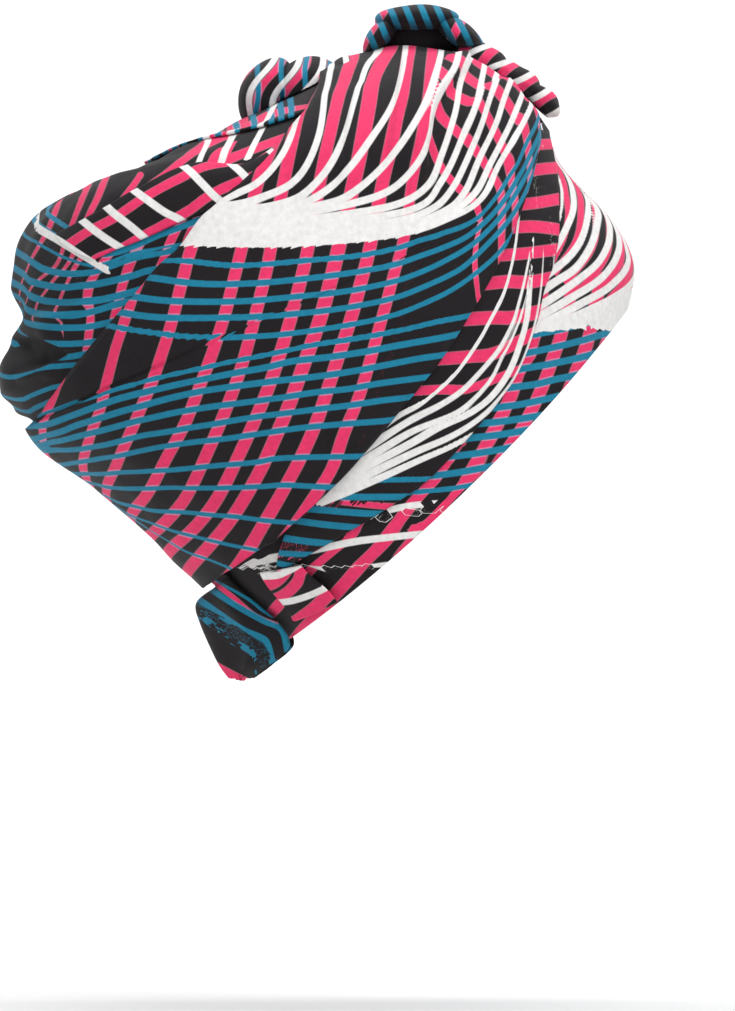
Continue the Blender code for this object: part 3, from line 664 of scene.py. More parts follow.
BROW_PINK = (
    (-1, 6.0, 6.0, (400, 450), (380, 480), (365, 508), (351, 534), (332, 550), (316, 564), (303, 577), (288, 594)),
    (0, 6.0, 6.4, (470, 418), (456, 442), (443, 466), (430, 484), (414, 502), (396, 525), (380, 546), (360, 566),
     (346, 582), (330, 600)),
    (1, 5.8, 5.6, (541, 300), (538, 327), (532, 343), (526, 362), (517, 378), (510, 398), (502, 415), (495, 429),
     (487, 444), (477, 461), (467, 479), (454, 497), (439, 510), (426, 526), (410, 545), (392, 570)),
    (2, 5.8, 5.6, (570, 300), (565, 321), (560.5, 339), (554, 357), (547.5, 375), (540, 393), (532, 410),
     (524, 425), (513, 442), (500, 465), (488, 485), (470, 510)),
    (3, 5.8, 5.6, (599, 292), (594, 314), (591, 331), (585, 350), (578, 367), (568, 392), (556, 415), (540, 445),
     (520, 480), (500, 510)),
    (4, 5.8, 5.6, (626, 280), (621, 302), (616, 319), (610, 337), (602, 358), (590, 385), (575, 415), (560, 445),
     (545, 475)),
    (5, 5.8, 5.6, (650, 270), (646, 290), (642, 308), (636, 328), (628, 350), (616, 378), (600, 410), (585, 445)),
)
BROW_WHITE = (
    (0, 0.0, 0.0, (360, 486), (378, 486), (412, 480), (455, 478), (520, 472)),
    (1, 3.4, 3.4, (360, 517), (380, 512), (412, 505.5), (456, 502), (520, 493)),
    (2, 3.6, 3.2, (310, 551), (325, 548), (359, 541), (394, 537), (423, 534), (470, 528)),
    (3, 3.6, 3.2, (290, 571), (305, 570), (341, 571), (391, 565), (440, 555)),
    (4, 0.0, 0.0, (280, 600), (300, 600), (340, 602), (400, 595), (440, 585)),
)
FOREHEAD_WHITE = (
    (0, 3.0, 0.0, (530, 262), (545, 245), (556, 226), (562, 206), (562, 188), (556, 172), (548, 158), (540, 146),
     (530, 130)),
    (1, 4.4, 2.2, (520, 285), (540, 268), (555, 249), (567, 227), (574, 208), (573, 189), (569, 173), (561, 160),
     (552, 139), (546, 120)),
    (2, 4.4, 2.4, (518, 298), (551, 272), (570, 256), (582, 238), (588, 218), (589, 198), (585, 184), (578, 171),
     (566, 158), (556, 142)),
    (3, 4.4, 2.8, (520, 308), (551, 285), (574, 270), (587, 254), (595, 237), (599, 218), (598, 205), (593, 188)),
    (4, 4.4, 2.8, (524, 316), (560, 293), (584, 276), (599, 262), (608, 246), (611, 232), (610, 218), (605, 200)),
    (5, 4.4, 2.8, (530, 322), (568, 300), (596, 283), (611, 268), (619, 252), (621, 238), (619, 224), (614, 206)),
    (6, 4.4, 2.8, (540, 325), (577, 306), (606, 290), (623, 274), (630, 260), (630, 246), (628, 232), (623, 214)),
    (7, 4.4, 2.8, (550, 326), (586, 311), (616, 296), (635, 280), (641, 266), (640, 252), (637, 238), (632, 220)),
)
FOREHEAD_PINK = (
    (1, 2.6, 3.2, (551, 148), (560, 166), (566, 190), (569, 215), (563, 240), (552, 262)),
    (2, 2.6, 3.2, (560, 148), (575, 172), (581, 196), (581, 222), (575, 244), (560, 266)),
    (3, 2.6, 3.2, (572, 156), (590, 184), (596, 208), (596, 236), (588, 256), (572, 276)),
    (4, 2.6, 3.2, (584, 166), (603, 194), (610, 220), (609, 248), (601, 266), (586, 284)),
    (5, 2.6, 3.2, (596, 178), (615, 206), (623, 232), (622, 258), (614, 274), (600, 290)),
    (6, 2.6, 3.2, (608, 188), (627, 216), (635, 242), (634, 264), (626, 280), (614, 294)),
)
REAR_BLUE = (
    (-1, 3.4, 3.4, (32, 207), (56, 220), (76, 232), (100, 236), (130, 228), (160, 214), (190, 200), (230, 180)),
    (0, 3.4, 3.4, (29, 223), (52, 235), (72, 246), (100, 255), (131, 248), (157, 236), (179, 228), (202, 219),
     (240, 204)),
    (1, 3.4, 0.6, (26, 239), (48, 250), (68, 259), (98, 266), (136, 253), (171, 246), (200, 240), (240, 232)),
    (2, 3.4, 3.4, (20, 257), (41, 268), (61, 273), (80, 274), (104, 270), (132, 259), (171, 251), (240, 240)),
    (3, 3.4, 3.4, (15, 273), (27, 280), (48, 286), (71, 288), (100, 284), (132, 276), (153, 270), (240, 258)),
    (4, 3.4, 3.4, (14, 287), (28, 295), (50, 302), (76, 303), (104, 299), (132, 292), (160, 284), (240, 270)),
    (5, 3.2, 3.2, (11, 300), (24, 309), (45, 315), (68, 316), (92, 312), (120, 304), (160, 295), (240, 280)),
    (6, 3.2, 3.2, (8, 314), (22, 322), (46, 327), (68, 328), (88, 327), (112, 322), (160, 312), (240, 295)),
    (7, 3.0, 3.0, (8, 332), (24, 340), (45, 343), (68, 344), (92, 342), (120, 336), (160, 326), (240, 310)),
    (8, 3.0, 3.0, (10, 349), (26, 355), (46, 357), (68, 357), (90, 353), (120, 347), (160, 340), (240, 325)),
    (9, 2.4, 2.4, (10, 378), (26, 374), (44, 368), (66, 366), (90, 364), (120, 360), (160, 354), (240, 340)),
    (10, 2.4, 2.4, (14, 402), (30, 396), (50, 388), (70, 384), (90, 380), (120, 376), (160, 368), (240, 350)),
)
REAR_PINK = (
    (0, 2.2, -1.1, (60, 200), (48, 228), (36, 250), (24, 272), (14, 292), (10, 320), (14, 350), (20, 390)),
    (1, 2.4, -1.1, (80, 208), (68, 238), (57, 262), (42, 277), (31, 290), (24, 316), (26, 345), (30, 390)),
    (2, 2.6, -1.1, (92, 214), (80, 242), (67, 266), (54, 279), (46, 294), (39, 312), (41, 335), (45, 360), (50, 395)),
    (3, 3.0, -1.1, (108, 222), (92, 246), (78, 264), (70, 280), (64, 296), (61, 312), (63, 335), (62, 355),
     (66, 395)),
    (4, 3.6, 3.6, (126, 230), (112, 252), (98, 272), (92, 283), (89, 297), (90, 318), (88, 337), (86, 356),
     (86, 395)),
    (5, 4.2, 4.2, (160, 214), (144, 238), (135, 255), (128, 270), (122, 287), (118, 305), (112, 330), (108, 350),
     (104, 390)),
    (6, 4.4, 4.4, (190, 204), (178, 226), (170, 242), (164, 258), (156, 276), (150, 300), (142, 330), (136, 350),
     (130, 390)),
)
# White and pink lines of the cloth above the diagonal fold
ABOVE_WHITE = (
    (0, 3.4, 3.4, (208, 142), (202, 156), (196, 170)),
    (1, 3.4, 3.4, (234, 132), (228, 148), (222, 163)),
    (2, 3.6, 3.6, (276, 104), (262, 130), (248, 158)),
)
ABOVE_PINK = (
    (0, 4.0, 4.4, (150, 186), (196, 152), (243, 128), (271, 115), (302, 110)),
    (1, 4.0, 4.4, (160, 204), (200, 176), (236, 157), (264, 145), (300, 132)),
)
REAR_WHITE = (
    (0, 0.0, 0.0, (2, 245), (20, 262), (40, 282), (60, 305)),
    (1, 4.2, 3.6, (30, 223), (42, 231), (66, 245), (84, 256), (104, 268)),
    (2, 0.0, 0.0, (70, 190), (90, 205), (110, 225), (130, 245)),
)
DIAGONAL_PINK = (
    (0, 5.0, 5.0, (60, 256), (71, 246), (90, 233), (118, 218), (148, 198), (178, 182), (206, 168), (240, 160),
     (285, 140)),
    (1, 4.6, 4.6, (84, 272), (97, 259), (118, 250), (146, 235), (166, 224), (190, 210), (210, 196), (236, 184),
     (285, 166)),
)
DIAGONAL_WHITE = (
    (0, 3.6, 3.6, (20, 212), (42, 230), (66, 244), (88, 259), (104, 270), (120, 282)),
    (1, 3.8, 3.8, (42, 196), (66, 208), (84, 222), (104, 237), (126, 252), (142, 264)),
    (2, 3.8, 3.8, (78, 190), (98, 200), (115, 214), (132, 227), (147, 240), (160, 252)),
    (3, 3.8, 3.8, (124, 180), (134, 190), (150, 202), (166, 213), (180, 220), (196, 232)),
    (4, 3.8, 3.8, (176, 160), (190, 172), (202, 184), (214, 196), (224, 204), (236, 214)),
    (5, 3.8, 3.8, (218, 146), (228, 160), (240, 172), (250, 182), (262, 192), (274, 202)),
    (6, 3.8, 3.8, (252, 126), (262, 142), (272, 154), (282, 164), (292, 174), (304, 184)),
)
UPPER_BLUE = (
    (0, 3.2, 3.2, (214, 212), (206, 192), (196, 172), (188, 150), (182, 130), (176, 108)),
    (1, 3.2, 3.2, (228, 204), (220, 184), (211, 164), (204, 143), (198, 124), (193, 104)),
    (2, 3.2, 3.2, (242, 196), (235, 176), (227, 156), (220, 136), (215, 117), (210, 98)),
    (3, 3.2, 3.2, (256, 188), (250, 168), (243, 148), (237, 129), (232, 110), (228, 92)),
    (4, 3.2, 3.2, (270, 180), (265, 160), (259, 141), (254, 122), (250, 104), (246, 86)),
    (5, 3.2, 3.2, (284, 172), (280, 152), (275, 134), (271, 115), (268, 98), (265, 80)),
)
TAIL_BLUE = (
    (-1, 2.0, 2.0, (222, 584), (236, 592), (252, 602), (263, 611), (280, 620), (300, 622)),
    (0, 0.0, 0.0, (212, 584), (230, 597), (250, 609), (272, 621), (290, 630), (300, 640)),
    (1, 3.3, 3.3, (198, 580), (205, 585), (232, 603), (262, 620), (277, 626), (283, 632), (287, 648), (290, 662)),
    (2, 3.3, 3.3, (200, 600), (207, 605), (240, 628), (260, 637), (266, 641), (269, 648), (272, 660), (276, 678)),
    (3, 3.3, 3.3, (200, 617), (208, 622), (230, 640), (248, 650), (252, 654), (254, 660), (257, 668), (260, 684)),
    (4, 0.0, 0.0, (200, 640), (212, 648), (226, 660), (238, 668), (242, 674), (243, 682), (244, 690)),
)
TAIL_PINK = (
    (0, 2.4, 2.4, (205, 574), (213, 582), (235, 599), (255, 616), (273, 624), (290, 630)),
    (1, 0.0, 0.0, (195, 610), (210, 620), (230, 640), (250, 655), (262, 662), (275, 670)),
    (2, 6.0, 6.0, (205, 660), (222, 670), (236, 677), (246, 682), (256, 690), (265, 696)),
)
BAND_PINK = (
    (0, 6.0, 6.0, (320, 545), (306, 556), (302, 570), (298, 582), (286, 594), (270, 602), (258, 606)),
    (1, 6.5, 6.5, (345, 575), (335, 588), (326, 597), (314, 609), (302, 618), (290, 626), (276, 632)),
    (2, 6.0, 6.0, (370, 610), (362, 618), (352, 628), (340, 638), (328, 646), (312, 654), (300, 660)),
)
BAND_WHITE = (
    (0, 3.6, 3.0, (262, 576), (278, 575), (288, 571), (298, 566), (308, 558)),
    (1, 3.6, 3.6, (250, 607), (262, 604.5), (288, 602), (306, 597), (322, 590), (340, 580)),
    (2, 3.6, 3.6, (262, 632), (284, 628), (300, 625), (314, 620), (328, 613), (345, 600)),
)

# Edges of the turns on the chart
SIDE_FRONT_EDGE = (
    (235, 580), (260, 555), (302, 516), (351, 470), (415, 395), (449, 351), (488, 287), (509, 244),
    (532, 186), (540, 160), (544, 138), (542, 114),
)
SIDE_REAR_EDGE = (
    (25, 429), (35, 417), (53, 392), (80, 356), (104, 326), (129, 299), (159, 263), (178, 247),
    (199, 218), (219, 200), (272, 145), (290, 124), (306, 107),
)
SECOND_FRONT_EDGE = (
    (276, 574), (328, 544), (375, 516), (420, 486), (447, 461), (482, 422), (500, 400), (520, 370),
    (538, 322), (545, 290), (555, 262), (560, 232), (560, 200), (558, 170), (549, 128), (546, 112),
)
SECOND_REAR_START = 0.20
DIAGONAL_UPPER_EDGE = ((73, 243), (116, 220), (144, 202), (200, 170), (247, 161), (283, 136))
DIAGONAL_LOWER_EDGE = ((104, 263), (123, 251), (143, 241), (182, 220), (219, 205), (260, 180), (276, 168))
BAND_END_SEAM = ((300, 567), (319, 585), (335, 602))
BAND_END_TIP = ((260, 574), (276, 597), (293, 621))

# Levels of the sheets on the crown form
SIDE_LOW = 0.105
SIDE_HIGH = 0.955
PUFF_LOW = 0.315
PUFF_HIGH = 0.812
UPPER_LOW = 0.796
UPPER_HIGH = 0.975
TAIL_TOP = 0.16
TAIL_LEAVE = 0.095
TAIL_HIDDEN = 0.25
# Columns: share of TAIL_DROP, middle forward and edge forward as shares of TAIL_REACH, share of TAIL_WIDTH
TAIL_ROWS = (
    (0.17, -0.21, 0.42, 1.00),
    (0.40, -0.14, 0.74, 0.97),
    (0.65, -0.02, 0.89, 0.80),
    (0.86, 0.10, 0.64, 0.50),
    (1.00, 0.22, 0.42, 0.20),
)

# Pressed folds and pleats on the right side, as steps beside a crease on the chart.
# Each row: height in metres, spread in chart units on the raised side (right of the run), then places
SIDE_FOLDS = (
    (0.0042, 30, (456, 44), (466, 64), (454, 81), (434, 105), (425, 144), (425, 190)),
    (0.0026, 16, (470, 150), (468, 118), (478, 98), (492, 86), (512, 82), (540, 92)),
    (0.0022, 20, (386, 176), (392, 140), (398, 105), (402, 70), (404, 44)),
    (0.0018, 22, (338, 200), (346, 150), (352, 110), (360, 78)),
    (0.0016, 18, (508, 178), (514, 148), (520, 120), (530, 98)),
    (0.0012, 26, (400, 236), (440, 222), (470, 204), (500, 176)),
)
REAR_FOLDS = (
    (0.0030, 26, (104, 292), (84, 306), (62, 318), (34, 322), (12, 318)),
    (0.0022, 18, (96, 398), (70, 384), (44, 376), (14, 384)),
)
# Hollow between the folds of the rear puff on the chart: middle x and y, half width, half heights
# at its left and right, then its depth in metres. Within it the print is taken off, so the dark ground is painted
# shade.
REAR_HOLLOW = (32, 354, 31, 25, 7, 0.0095)


def distance_to_run(places, run):
    """Signed distance from a run on the chart, above 0 to its right, and the share of the way along."""
    run = along(run, np.linspace(0, 1, EDGE_SAMPLES))
    start = run[:-1]
    step = run[1:] - start
    offset = places[..., None, :] - start
    share = np.clip((offset * step).sum(-1) / (step ** 2).sum(-1), 0, 1)
    away = offset - share[..., None] * step
    size = np.linalg.norm(away, axis=-1)
    nearest = size.argmin(-1)
    pick = nearest[..., None]
    side = np.sign(step[..., 0] * offset[..., 1] - step[..., 1] * offset[..., 0])
    distance = np.take_along_axis(size * side, pick, -1)[..., 0]
    way = (nearest + np.take_along_axis(share, pick, -1)[..., 0]) / len(start)
    return distance, way


# Chart units over which a fold's steep side spreads, and share of its run over which each end fades
FOLD_SHARP = 2.4
FOLD_FADE = 0.2


def fold_lift(places, folds):
    """Extra height of the pressed folds at chart places."""
    total = np.zeros(places.shape[:-1])
    for height, spread, *run in folds:
        distance, way = distance_to_run(places, run)
        width = np.where(distance > 0, spread, FOLD_SHARP)
        fade = smooth_step(way / FOLD_FADE) * smooth_step((1 - way) / FOLD_FADE)
        total += height * fade * np.exp(-(distance / width) ** 2)
    return total


# Waves of pressed cloth. Columns: size and height in metres, seed of their directions
WAVES = {
    "crown_wrap": (0.060, 0.0005, 3),
    "side_wrap": (0.075, 0.0013, 5),
    "second_fold": (0.050, 0.0003, 8),
    "rear_puff": (0.050, 0.0011, 11),
    "upper_fold": (0.040, 0.0007, 13),
    "diagonal_fold": (0.030, 0.0003, 17),
}
OCTAVES = 4
WAVES_EACH = 4
OCTAVE_STEP = 1.7
OCTAVE_LOSS = 1.8


def wrinkles(points, size, height, seed):
    """Gentle waves of pressed cloth, as heights at points."""
    random = np.random.default_rng(seed)
    total = np.zeros(points.shape[:-1])
    for octave in range(OCTAVES):
        for _wave in range(WAVES_EACH):
            direction = random.normal(size=3)
            direction *= math.tau / size * OCTAVE_STEP ** octave / np.linalg.norm(direction)
            total += np.sin(points @ direction + random.uniform(0, math.tau)) / OCTAVE_LOSS ** octave
    return total * height / WAVES_EACH


def edge_turn(edge_rows, level, height):
    """Turn of an edge that climbs steadily, at levels."""
    levels, turns = edge(edge_rows, EDGE_SAMPLES, height)
    order = np.argsort(levels)
    return np.interp(level, levels[order], turns[order])


def grid_between(edge_a, edge_b, across):
    """Levels and turns on a grid between two edges, each a pair of level and turn arrays."""
    s = np.linspace(0, 1, across + 1)
    return [a[:, None] + (b - a)[:, None] * s for a, b in zip(edge_a, edge_b)]


def surface_normals(points):
    """Unit normals of a grid of points."""
    return unit(np.cross(np.gradient(points, axis=0), np.gradient(points, axis=1)))


class Sheet:
    """Grids of cloth gathered into one mesh, each with an outer face, an inner face and a round edge."""

    # How far the middle of an edge stands out, as a share of the wall
    EDGE_SWELL = 0.45

    def __init__(self, name):
        self.name = name
        self.points = []
        self.faces = []
        self.places = []
        self.painted_shade = []
        self.count = 0

    def add(self, points, outward, places, closed=False, painted_shade=None):
        """points: rows by columns. outward: grid of outward directions. closed: the columns meet.

        The last argument gives chart units taken off the half width of the stripes, which leaves the dark ground as
        painted shade.
        """
        painted_shade = np.zeros(places.shape[:-1]) if painted_shade is None else painted_shade
        rows, columns = points.shape[:2]
        normal = surface_normals(points)
        if closed:
            ends = (normal[:, 0] + normal[:, -1]) / 2
            normal[:, 0] = ends
            normal[:, -1] = ends
        flip = np.sign((normal * outward).sum(-1, keepdims=True))
        normal = normal * np.where(flip == 0, 1, flip)
        inner = points - normal * WALL
        index = np.arange(rows * columns).reshape(rows, columns) + self.count
        if closed:
            index[:, -1] = index[:, 0]
        under = index + rows * columns
        turned = (flip < 0).mean() > 0.5
        for grid, reverse in ((index, turned), (under, not turned)):
            quads = grid_quads(grid)
            self.faces.append(quads[:, (0, 3, 2, 1)] if reverse else quads)
        self.points += [points.reshape(-1, 3), inner.reshape(-1, 3)]
        self.places += [places.reshape(-1, 2)] * 2
        self.painted_shade += [painted_shade.ravel()] * 2
        self.count += 2 * rows * columns
        self.round_edge(points, inner, places, painted_shade, index, under, closed, turned)

    def round_edge(self, points, inner, places, painted_shade, index, under, closed, turned):
        rows, columns = points.shape[:2]
        border = [(0, c) for c in range(columns - 1)]
        border += [(r, columns - 1) for r in range(rows - 1)]
        border += [(rows - 1, c) for c in range(columns - 1, 0, -1)]
        border += [(r, 0) for r in range(rows - 1, 0, -1)]
        where = np.array(border)
        r, c = where.T
        within = (np.clip(r, 1, rows - 2), np.clip(c, 1, columns - 2))
        out = unit(points[r, c] - points[within])
        middle = (points[r, c] + inner[r, c]) / 2 + out * WALL * self.EDGE_SWELL
        ring = np.arange(len(border)) + self.count
        after = np.roll(np.arange(len(border)), -1)
        keep = np.ones(len(border), bool)
        if closed:
            shared = {}
            for k, (row, column) in enumerate(border):
                ring[k] = shared.setdefault((row, column % (columns - 1)), ring[k])
            keep = ~((c == c[after]) & ((c == 0) | (c == columns - 1)))
        outer = index[r, c]
        under_edge = under[r, c]
        upper = np.stack((outer, ring, ring[after], outer[after]), -1)[keep]
        lower = np.stack((ring, under_edge, under_edge[after], ring[after]), -1)[keep]
        for quads in (upper, lower):
            self.faces.append(quads if turned else quads[:, ::-1])
        self.points.append(middle)
        self.places.append(places[r, c])
        self.painted_shade.append(painted_shade[r, c])
        self.count += len(border)

    def declare(self, thing):
        """Called with each built piece; nothing is done here."""

    def build(self, stripes):
        used, faces = np.unique(np.concatenate(self.faces), return_inverse=True)
        faces = faces.reshape(-1, 4)
        points = np.concatenate(self.points)[used]
        places = np.concatenate(self.places)[used]
        painted_shade = np.concatenate(self.painted_shade)[used]
        mesh = bpy.data.meshes.new(self.name + "_cloth")
        mesh.from_pydata(points.tolist(), [], faces.tolist())
        mesh.shade_smooth()
        mesh.validate()
        write_stripes(mesh, places, painted_shade, stripes)
        thing = bpy.data.objects.new(self.name + "_cloth", mesh)
        bpy.context.collection.objects.link(thing)
        mesh.materials.append(COTTON)
        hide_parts(self.name)
        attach(thing, "root")
        self.declare(thing)
        return thing


def write_stripes(mesh, places, painted_shade, stripes):
    """Keeps each layer's stripe number, half width and rate on the mesh, for the material to draw."""
    unique, back = np.unique(np.round(places, 2), axis=0, return_inverse=True)
    for layer, family in stripes.items():
        values = family.read(unique)[back.ravel()]
        values[:, 1] -= painted_shade
        attribute = mesh.attributes.new(layer, "FLOAT_VECTOR", "POINT")
        attribute.data.foreach_set("vector", values.astype(np.float32).ravel())


class Straight:
    """Stripes at an angle on the chart, bent in waves, for the small rolled ends."""

    WAVE = 14

    def __init__(self, angle, spacing, width, offset=0.0, bend=0.0):
        self.direction = np.array((math.cos(math.radians(angle)), math.sin(math.radians(angle))))
        self.spacing = spacing
        self.width = width
        self.offset = offset
        self.bend = bend

    def read(self, places):
        side = places @ np.array((-self.direction[1], self.direction[0]))
        distance = places @ self.direction + self.bend * np.sin(side / self.WAVE) - self.offset
        number = distance / self.spacing
        return np.stack((number, number * 0 + self.width, number * 0 + 1 / self.spacing), -1)


# Material


class Nodes:
    """Short names for making shader nodes."""

    def __init__(self, material):
        self.tree = material.node_tree
        self.shader = self.tree.nodes["Principled BSDF"]

    def value(self, socket_or_number, socket):
        if isinstance(socket_or_number, (int, float, tuple)):
            socket.default_value = socket_or_number
        else:
            self.tree.links.new(socket_or_number, socket)

    def sum(self, operation, *values, clamp=False):
        node = self.tree.nodes.new("ShaderNodeMath")
        node.operation = operation
        node.use_clamp = clamp
        for value, socket in zip(values, node.inputs):
            self.value(value, socket)
        return node.outputs[0]

    def mix(self, share, first, second):
        node = self.tree.nodes.new("ShaderNodeMix")
        node.data_type = "RGBA"
        for value, name in ((share, "Factor_Float"), (first, "A_Color"), (second, "B_Color")):
            socket = next(s for s in node.inputs if s.identifier == name)
            self.value(value, socket)
        return next(s for s in node.outputs if s.identifier == "Result_Color")

    def noise(self, scale, detail, roughness=0.55):
        place = self.tree.nodes.new("ShaderNodeTexCoord")
        node = self.tree.nodes.new("ShaderNodeTexNoise")
        self.tree.links.new(place.outputs["Object"], node.inputs["Vector"])
        node.inputs["Scale"].default_value = scale
        node.inputs["Detail"].default_value = detail
        node.inputs["Roughness"].default_value = roughness
        return node.outputs[0]

    def inside(self, layer, grow=0.0, soft=1.0):
        """1 within the stripes of a layer, widened by some chart units, and 0 outside."""
        attribute = self.tree.nodes.new("ShaderNodeAttribute")
        attribute.attribute_name = layer
        parts = self.tree.nodes.new("ShaderNodeSeparateXYZ")
        self.tree.links.new(attribute.outputs["Vector"], parts.inputs[0])
        number, width, rate = parts.outputs
        whole = self.sum("FRACT", self.sum("ADD", number, 0.5))
        away = self.sum("ABSOLUTE", self.sum("SUBTRACT", whole, 0.5))
        distance = self.sum("DIVIDE", away, self.sum("MAXIMUM", rate, 0.001))
        shown = self.sum("GREATER_THAN", width, 0.3)
        depth = self.sum("SUBTRACT", self.sum("ADD", width, grow + soft / 2), distance)
        return self.sum("MULTIPLY", self.sum("DIVIDE", depth, soft, clamp=True), shown)

    def either(self, first, second):
        return self.sum("MAXIMUM", first, second)


GROUND = (0.0050, 0.0036, 0.0046, 1.0)
PINK = (0.820, 0.036, 0.140, 1.0)
PINK_RIM = (0.800, 0.300, 0.380, 1.0)
BLUE = (0.008, 0.205, 0.330, 1.0)
BLUE_RIM = (0.560, 0.360, 0.520, 1.0)
WHITE = (0.830, 0.815, 0.790, 1.0)
WHITE_ON_PINK = (0.860, 0.640, 0.660, 1.0)


def cotton_material():
    material = bpy.data.materials.new("wax_print_cotton")
    material.use_nodes = True
    nodes = Nodes(material)
    blue = nodes.either(nodes.inside("blue"), nodes.inside("second_blue"))
    pink = nodes.either(nodes.inside("pink"), nodes.inside("second_pink"))
    pink_rim = nodes.either(nodes.inside("pink", 0.7), nodes.inside("second_pink", 0.7))
    white = nodes.either(nodes.inside("white"), nodes.inside("second_white"))
    mottle = nodes.noise(420.0, 3.0)
    cloudy = nodes.noise(46.0, 3.0)
    ground = nodes.mix(cloudy, GROUND, (0.0130, 0.0095, 0.0115, 1.0))
    colour = nodes.mix(nodes.sum("MULTIPLY", pink_rim, 0.45), ground, PINK_RIM)
    colour = nodes.mix(pink, colour, PINK)
    blue_rim = nodes.either(nodes.inside("blue", 0.9), nodes.inside("second_blue", 0.9))
    colour = nodes.mix(nodes.sum("MULTIPLY", blue_rim, nodes.sum("MULTIPLY", pink, 0.75)), colour, BLUE_RIM)
    colour = nodes.mix(blue, colour, BLUE)
    colour = nodes.mix(white, colour, WHITE)
    shade = nodes.sum("ADD", nodes.sum("MULTIPLY", mottle, 0.35), 0.80)
    darker = nodes.mix(nodes.sum("SUBTRACT", 1.12, shade, clamp=True), colour, (0.0, 0.0, 0.0, 1.0))
    nodes.value(darker, nodes.shader.inputs["Base Color"])
    bump = nodes.tree.nodes.new("ShaderNodeBump")
    bump.inputs["Strength"].default_value = 0.25
    bump.inputs["Distance"].default_value = 0.0004
    nodes.value(nodes.noise(1500.0, 2.0), bump.inputs["Height"])
    nodes.value(bump.outputs[0], nodes.shader.inputs["Normal"])
    nodes.shader.inputs["Roughness"].default_value = 0.80
    nodes.shader.inputs["Metallic"].default_value = 0.0
    nodes.shader.inputs["Specular IOR Level"].default_value = 0.22
    nodes.shader.inputs["Sheen Weight"].default_value = 0.04
    return material


COTTON = cotton_material()


# Pieces


def even_levels(low, high, count, turn=math.pi * 0.6):
    """Levels at even steps of the form's own length at a turn."""
    level = np.linspace(low, high, 400)
    points = form_point(level, np.full(400, turn))
    run = np.concatenate(((0,), np.cumsum(np.linalg.norm(np.diff(points, axis=0), axis=1))))
    return np.interp(np.linspace(0, run[-1], count + 1), run, level)


def flip_x(points):
    return points * (-1.0, 1.0, 1.0)


SIDE_STRIPES = {
    "blue": Stripes(SIDE_BLUE, reach=(45, 60)),
    "second_blue": Stripes(SIDE_LOW_BLUE, reach=(45, 60)),
    "pink": Stripes(SIDE_PINK, drawn=(0, 8)),
    "second_pink": Stripes(FRONT_PINK, reach=(4, 90), drawn=(1, 5)),
    "white": Stripes(SIDE_WHITE, reach=(60, 60)),
}
SECOND_STRIPES = {
    "blue": Stripes(SECOND_BLUE, reach=(60, 60)),
    "pink": Stripes(SECOND_RUNGS, reach=(40, 40)),
    "second_pink": Stripes(SECOND_LOW_PINK, reach=(60, 60), drawn=(1, 4)),
    "white": Stripes(SECOND_WHITE, reach=(30, 2)),
    "second_white": Stripes(SECOND_EDGE_WHITE, reach=(60, 60), drawn=(1, 1)),
}
BROW_STRIPES = {
    "blue": Stripes(BROW_BLUE, reach=(60, 160)),
    "pink": Stripes(BROW_PINK, reach=(20, 60), more=(0, 6)),
    "second_pink": Stripes(FOREHEAD_PINK, reach=(4, 10), more=(0, 9)),
    "white": Stripes(FOREHEAD_WHITE, reach=(20, 12), more=(0, 9)),
    "second_white": Stripes(BROW_WHITE, reach=(70, 30), drawn=(1, 3)),
}
# The rear print beyond the chart's edge, round the back. Columns: x, drop below the blue line's first place
ROUND_BACK = ((-420, 20), (-300, 46), (-180, 40), (-80, 12), (-30, 0))
BACK_PINK_GAP = 38
BACK_PINKS = 10


def round_blue():
    rows = []
    for number, start, end, *places in REAR_BLUE:
        behind = [(x, places[0][1] + drop) for x, drop in ROUND_BACK]
        rows.append((number, start, end, *behind, *places))
    return rows


def round_pink():
    rows = []
    for k in range(BACK_PINKS, 0, -1):
        x = -4 - BACK_PINK_GAP * k
        rows.append((-k, 5.0, 5.0, (x + 8, 120), (x + 6, 200), (x, 300), (x - 8, 400)))
    return rows + list(REAR_PINK)


REAR_STRIPES = {
    "blue": Stripes(round_blue(), reach=(60, 60), more=(0, 2)),
    "pink": Stripes(round_pink(), reach=(60, 60), more=(0, 1)),
    "white": Stripes(REAR_WHITE, reach=(10, 10), drawn=(1, 1)),
    "second_white": Stripes(ABOVE_WHITE, reach=(2, 2)),
    "second_pink": Stripes(ABOVE_PINK, reach=(10, 30)),
}
DIAGONAL_STRIPES = {
    "pink": Stripes(DIAGONAL_PINK, reach=(60, 60), drawn=(0, 1)),
    "white": Stripes(DIAGONAL_WHITE, reach=(10, 10)),
}
UPPER_STRIPES = {
    "blue": Stripes(UPPER_BLUE, reach=(60, 60), more=(4, 2)),
    "pink": Stripes(round_pink(), reach=(100, 60), more=(0, 1)),
    "white": Stripes(ABOVE_WHITE, reach=(2, 2)),
    "second_pink": Stripes(ABOVE_PINK, reach=(10, 30)),
}
TAIL_STRIPES = {
    "blue": Stripes(TAIL_BLUE, reach=(60, 60), drawn=(-1, 3)),
    "pink": Stripes(TAIL_PINK, reach=(30, 30), drawn=(0, 2)),
}
BAND_STRIPES = {
    "pink": Stripes(BAND_PINK, reach=(60, 60), more=(1, 1)),
    "white": Stripes(BAND_WHITE, reach=(60, 60), more=(1, 1)),
}


def build_crown():
    cloth = Sheet("crown_wrap")
    level = np.concatenate((np.linspace(0, 0.9, 132), np.linspace(0.9, 0.997, 8)[1:]))
    turn = np.linspace(0, 2 * math.pi, 321)
    level, turn = np.meshgrid(level, turn, indexing="ij")
    points = form_point(level, turn)
    normal = form_normal(level, turn)
    wave = wrinkles(points, *WAVES["crown_wrap"])
    fade = smooth_step(level / 0.05)
    shaped = points + normal * (wave * fade - 0.0003)[..., None]
    cloth.add(shaped, normal, print_place(level, turn, points), closed=True)
    cloth.build(BROW_STRIPES)


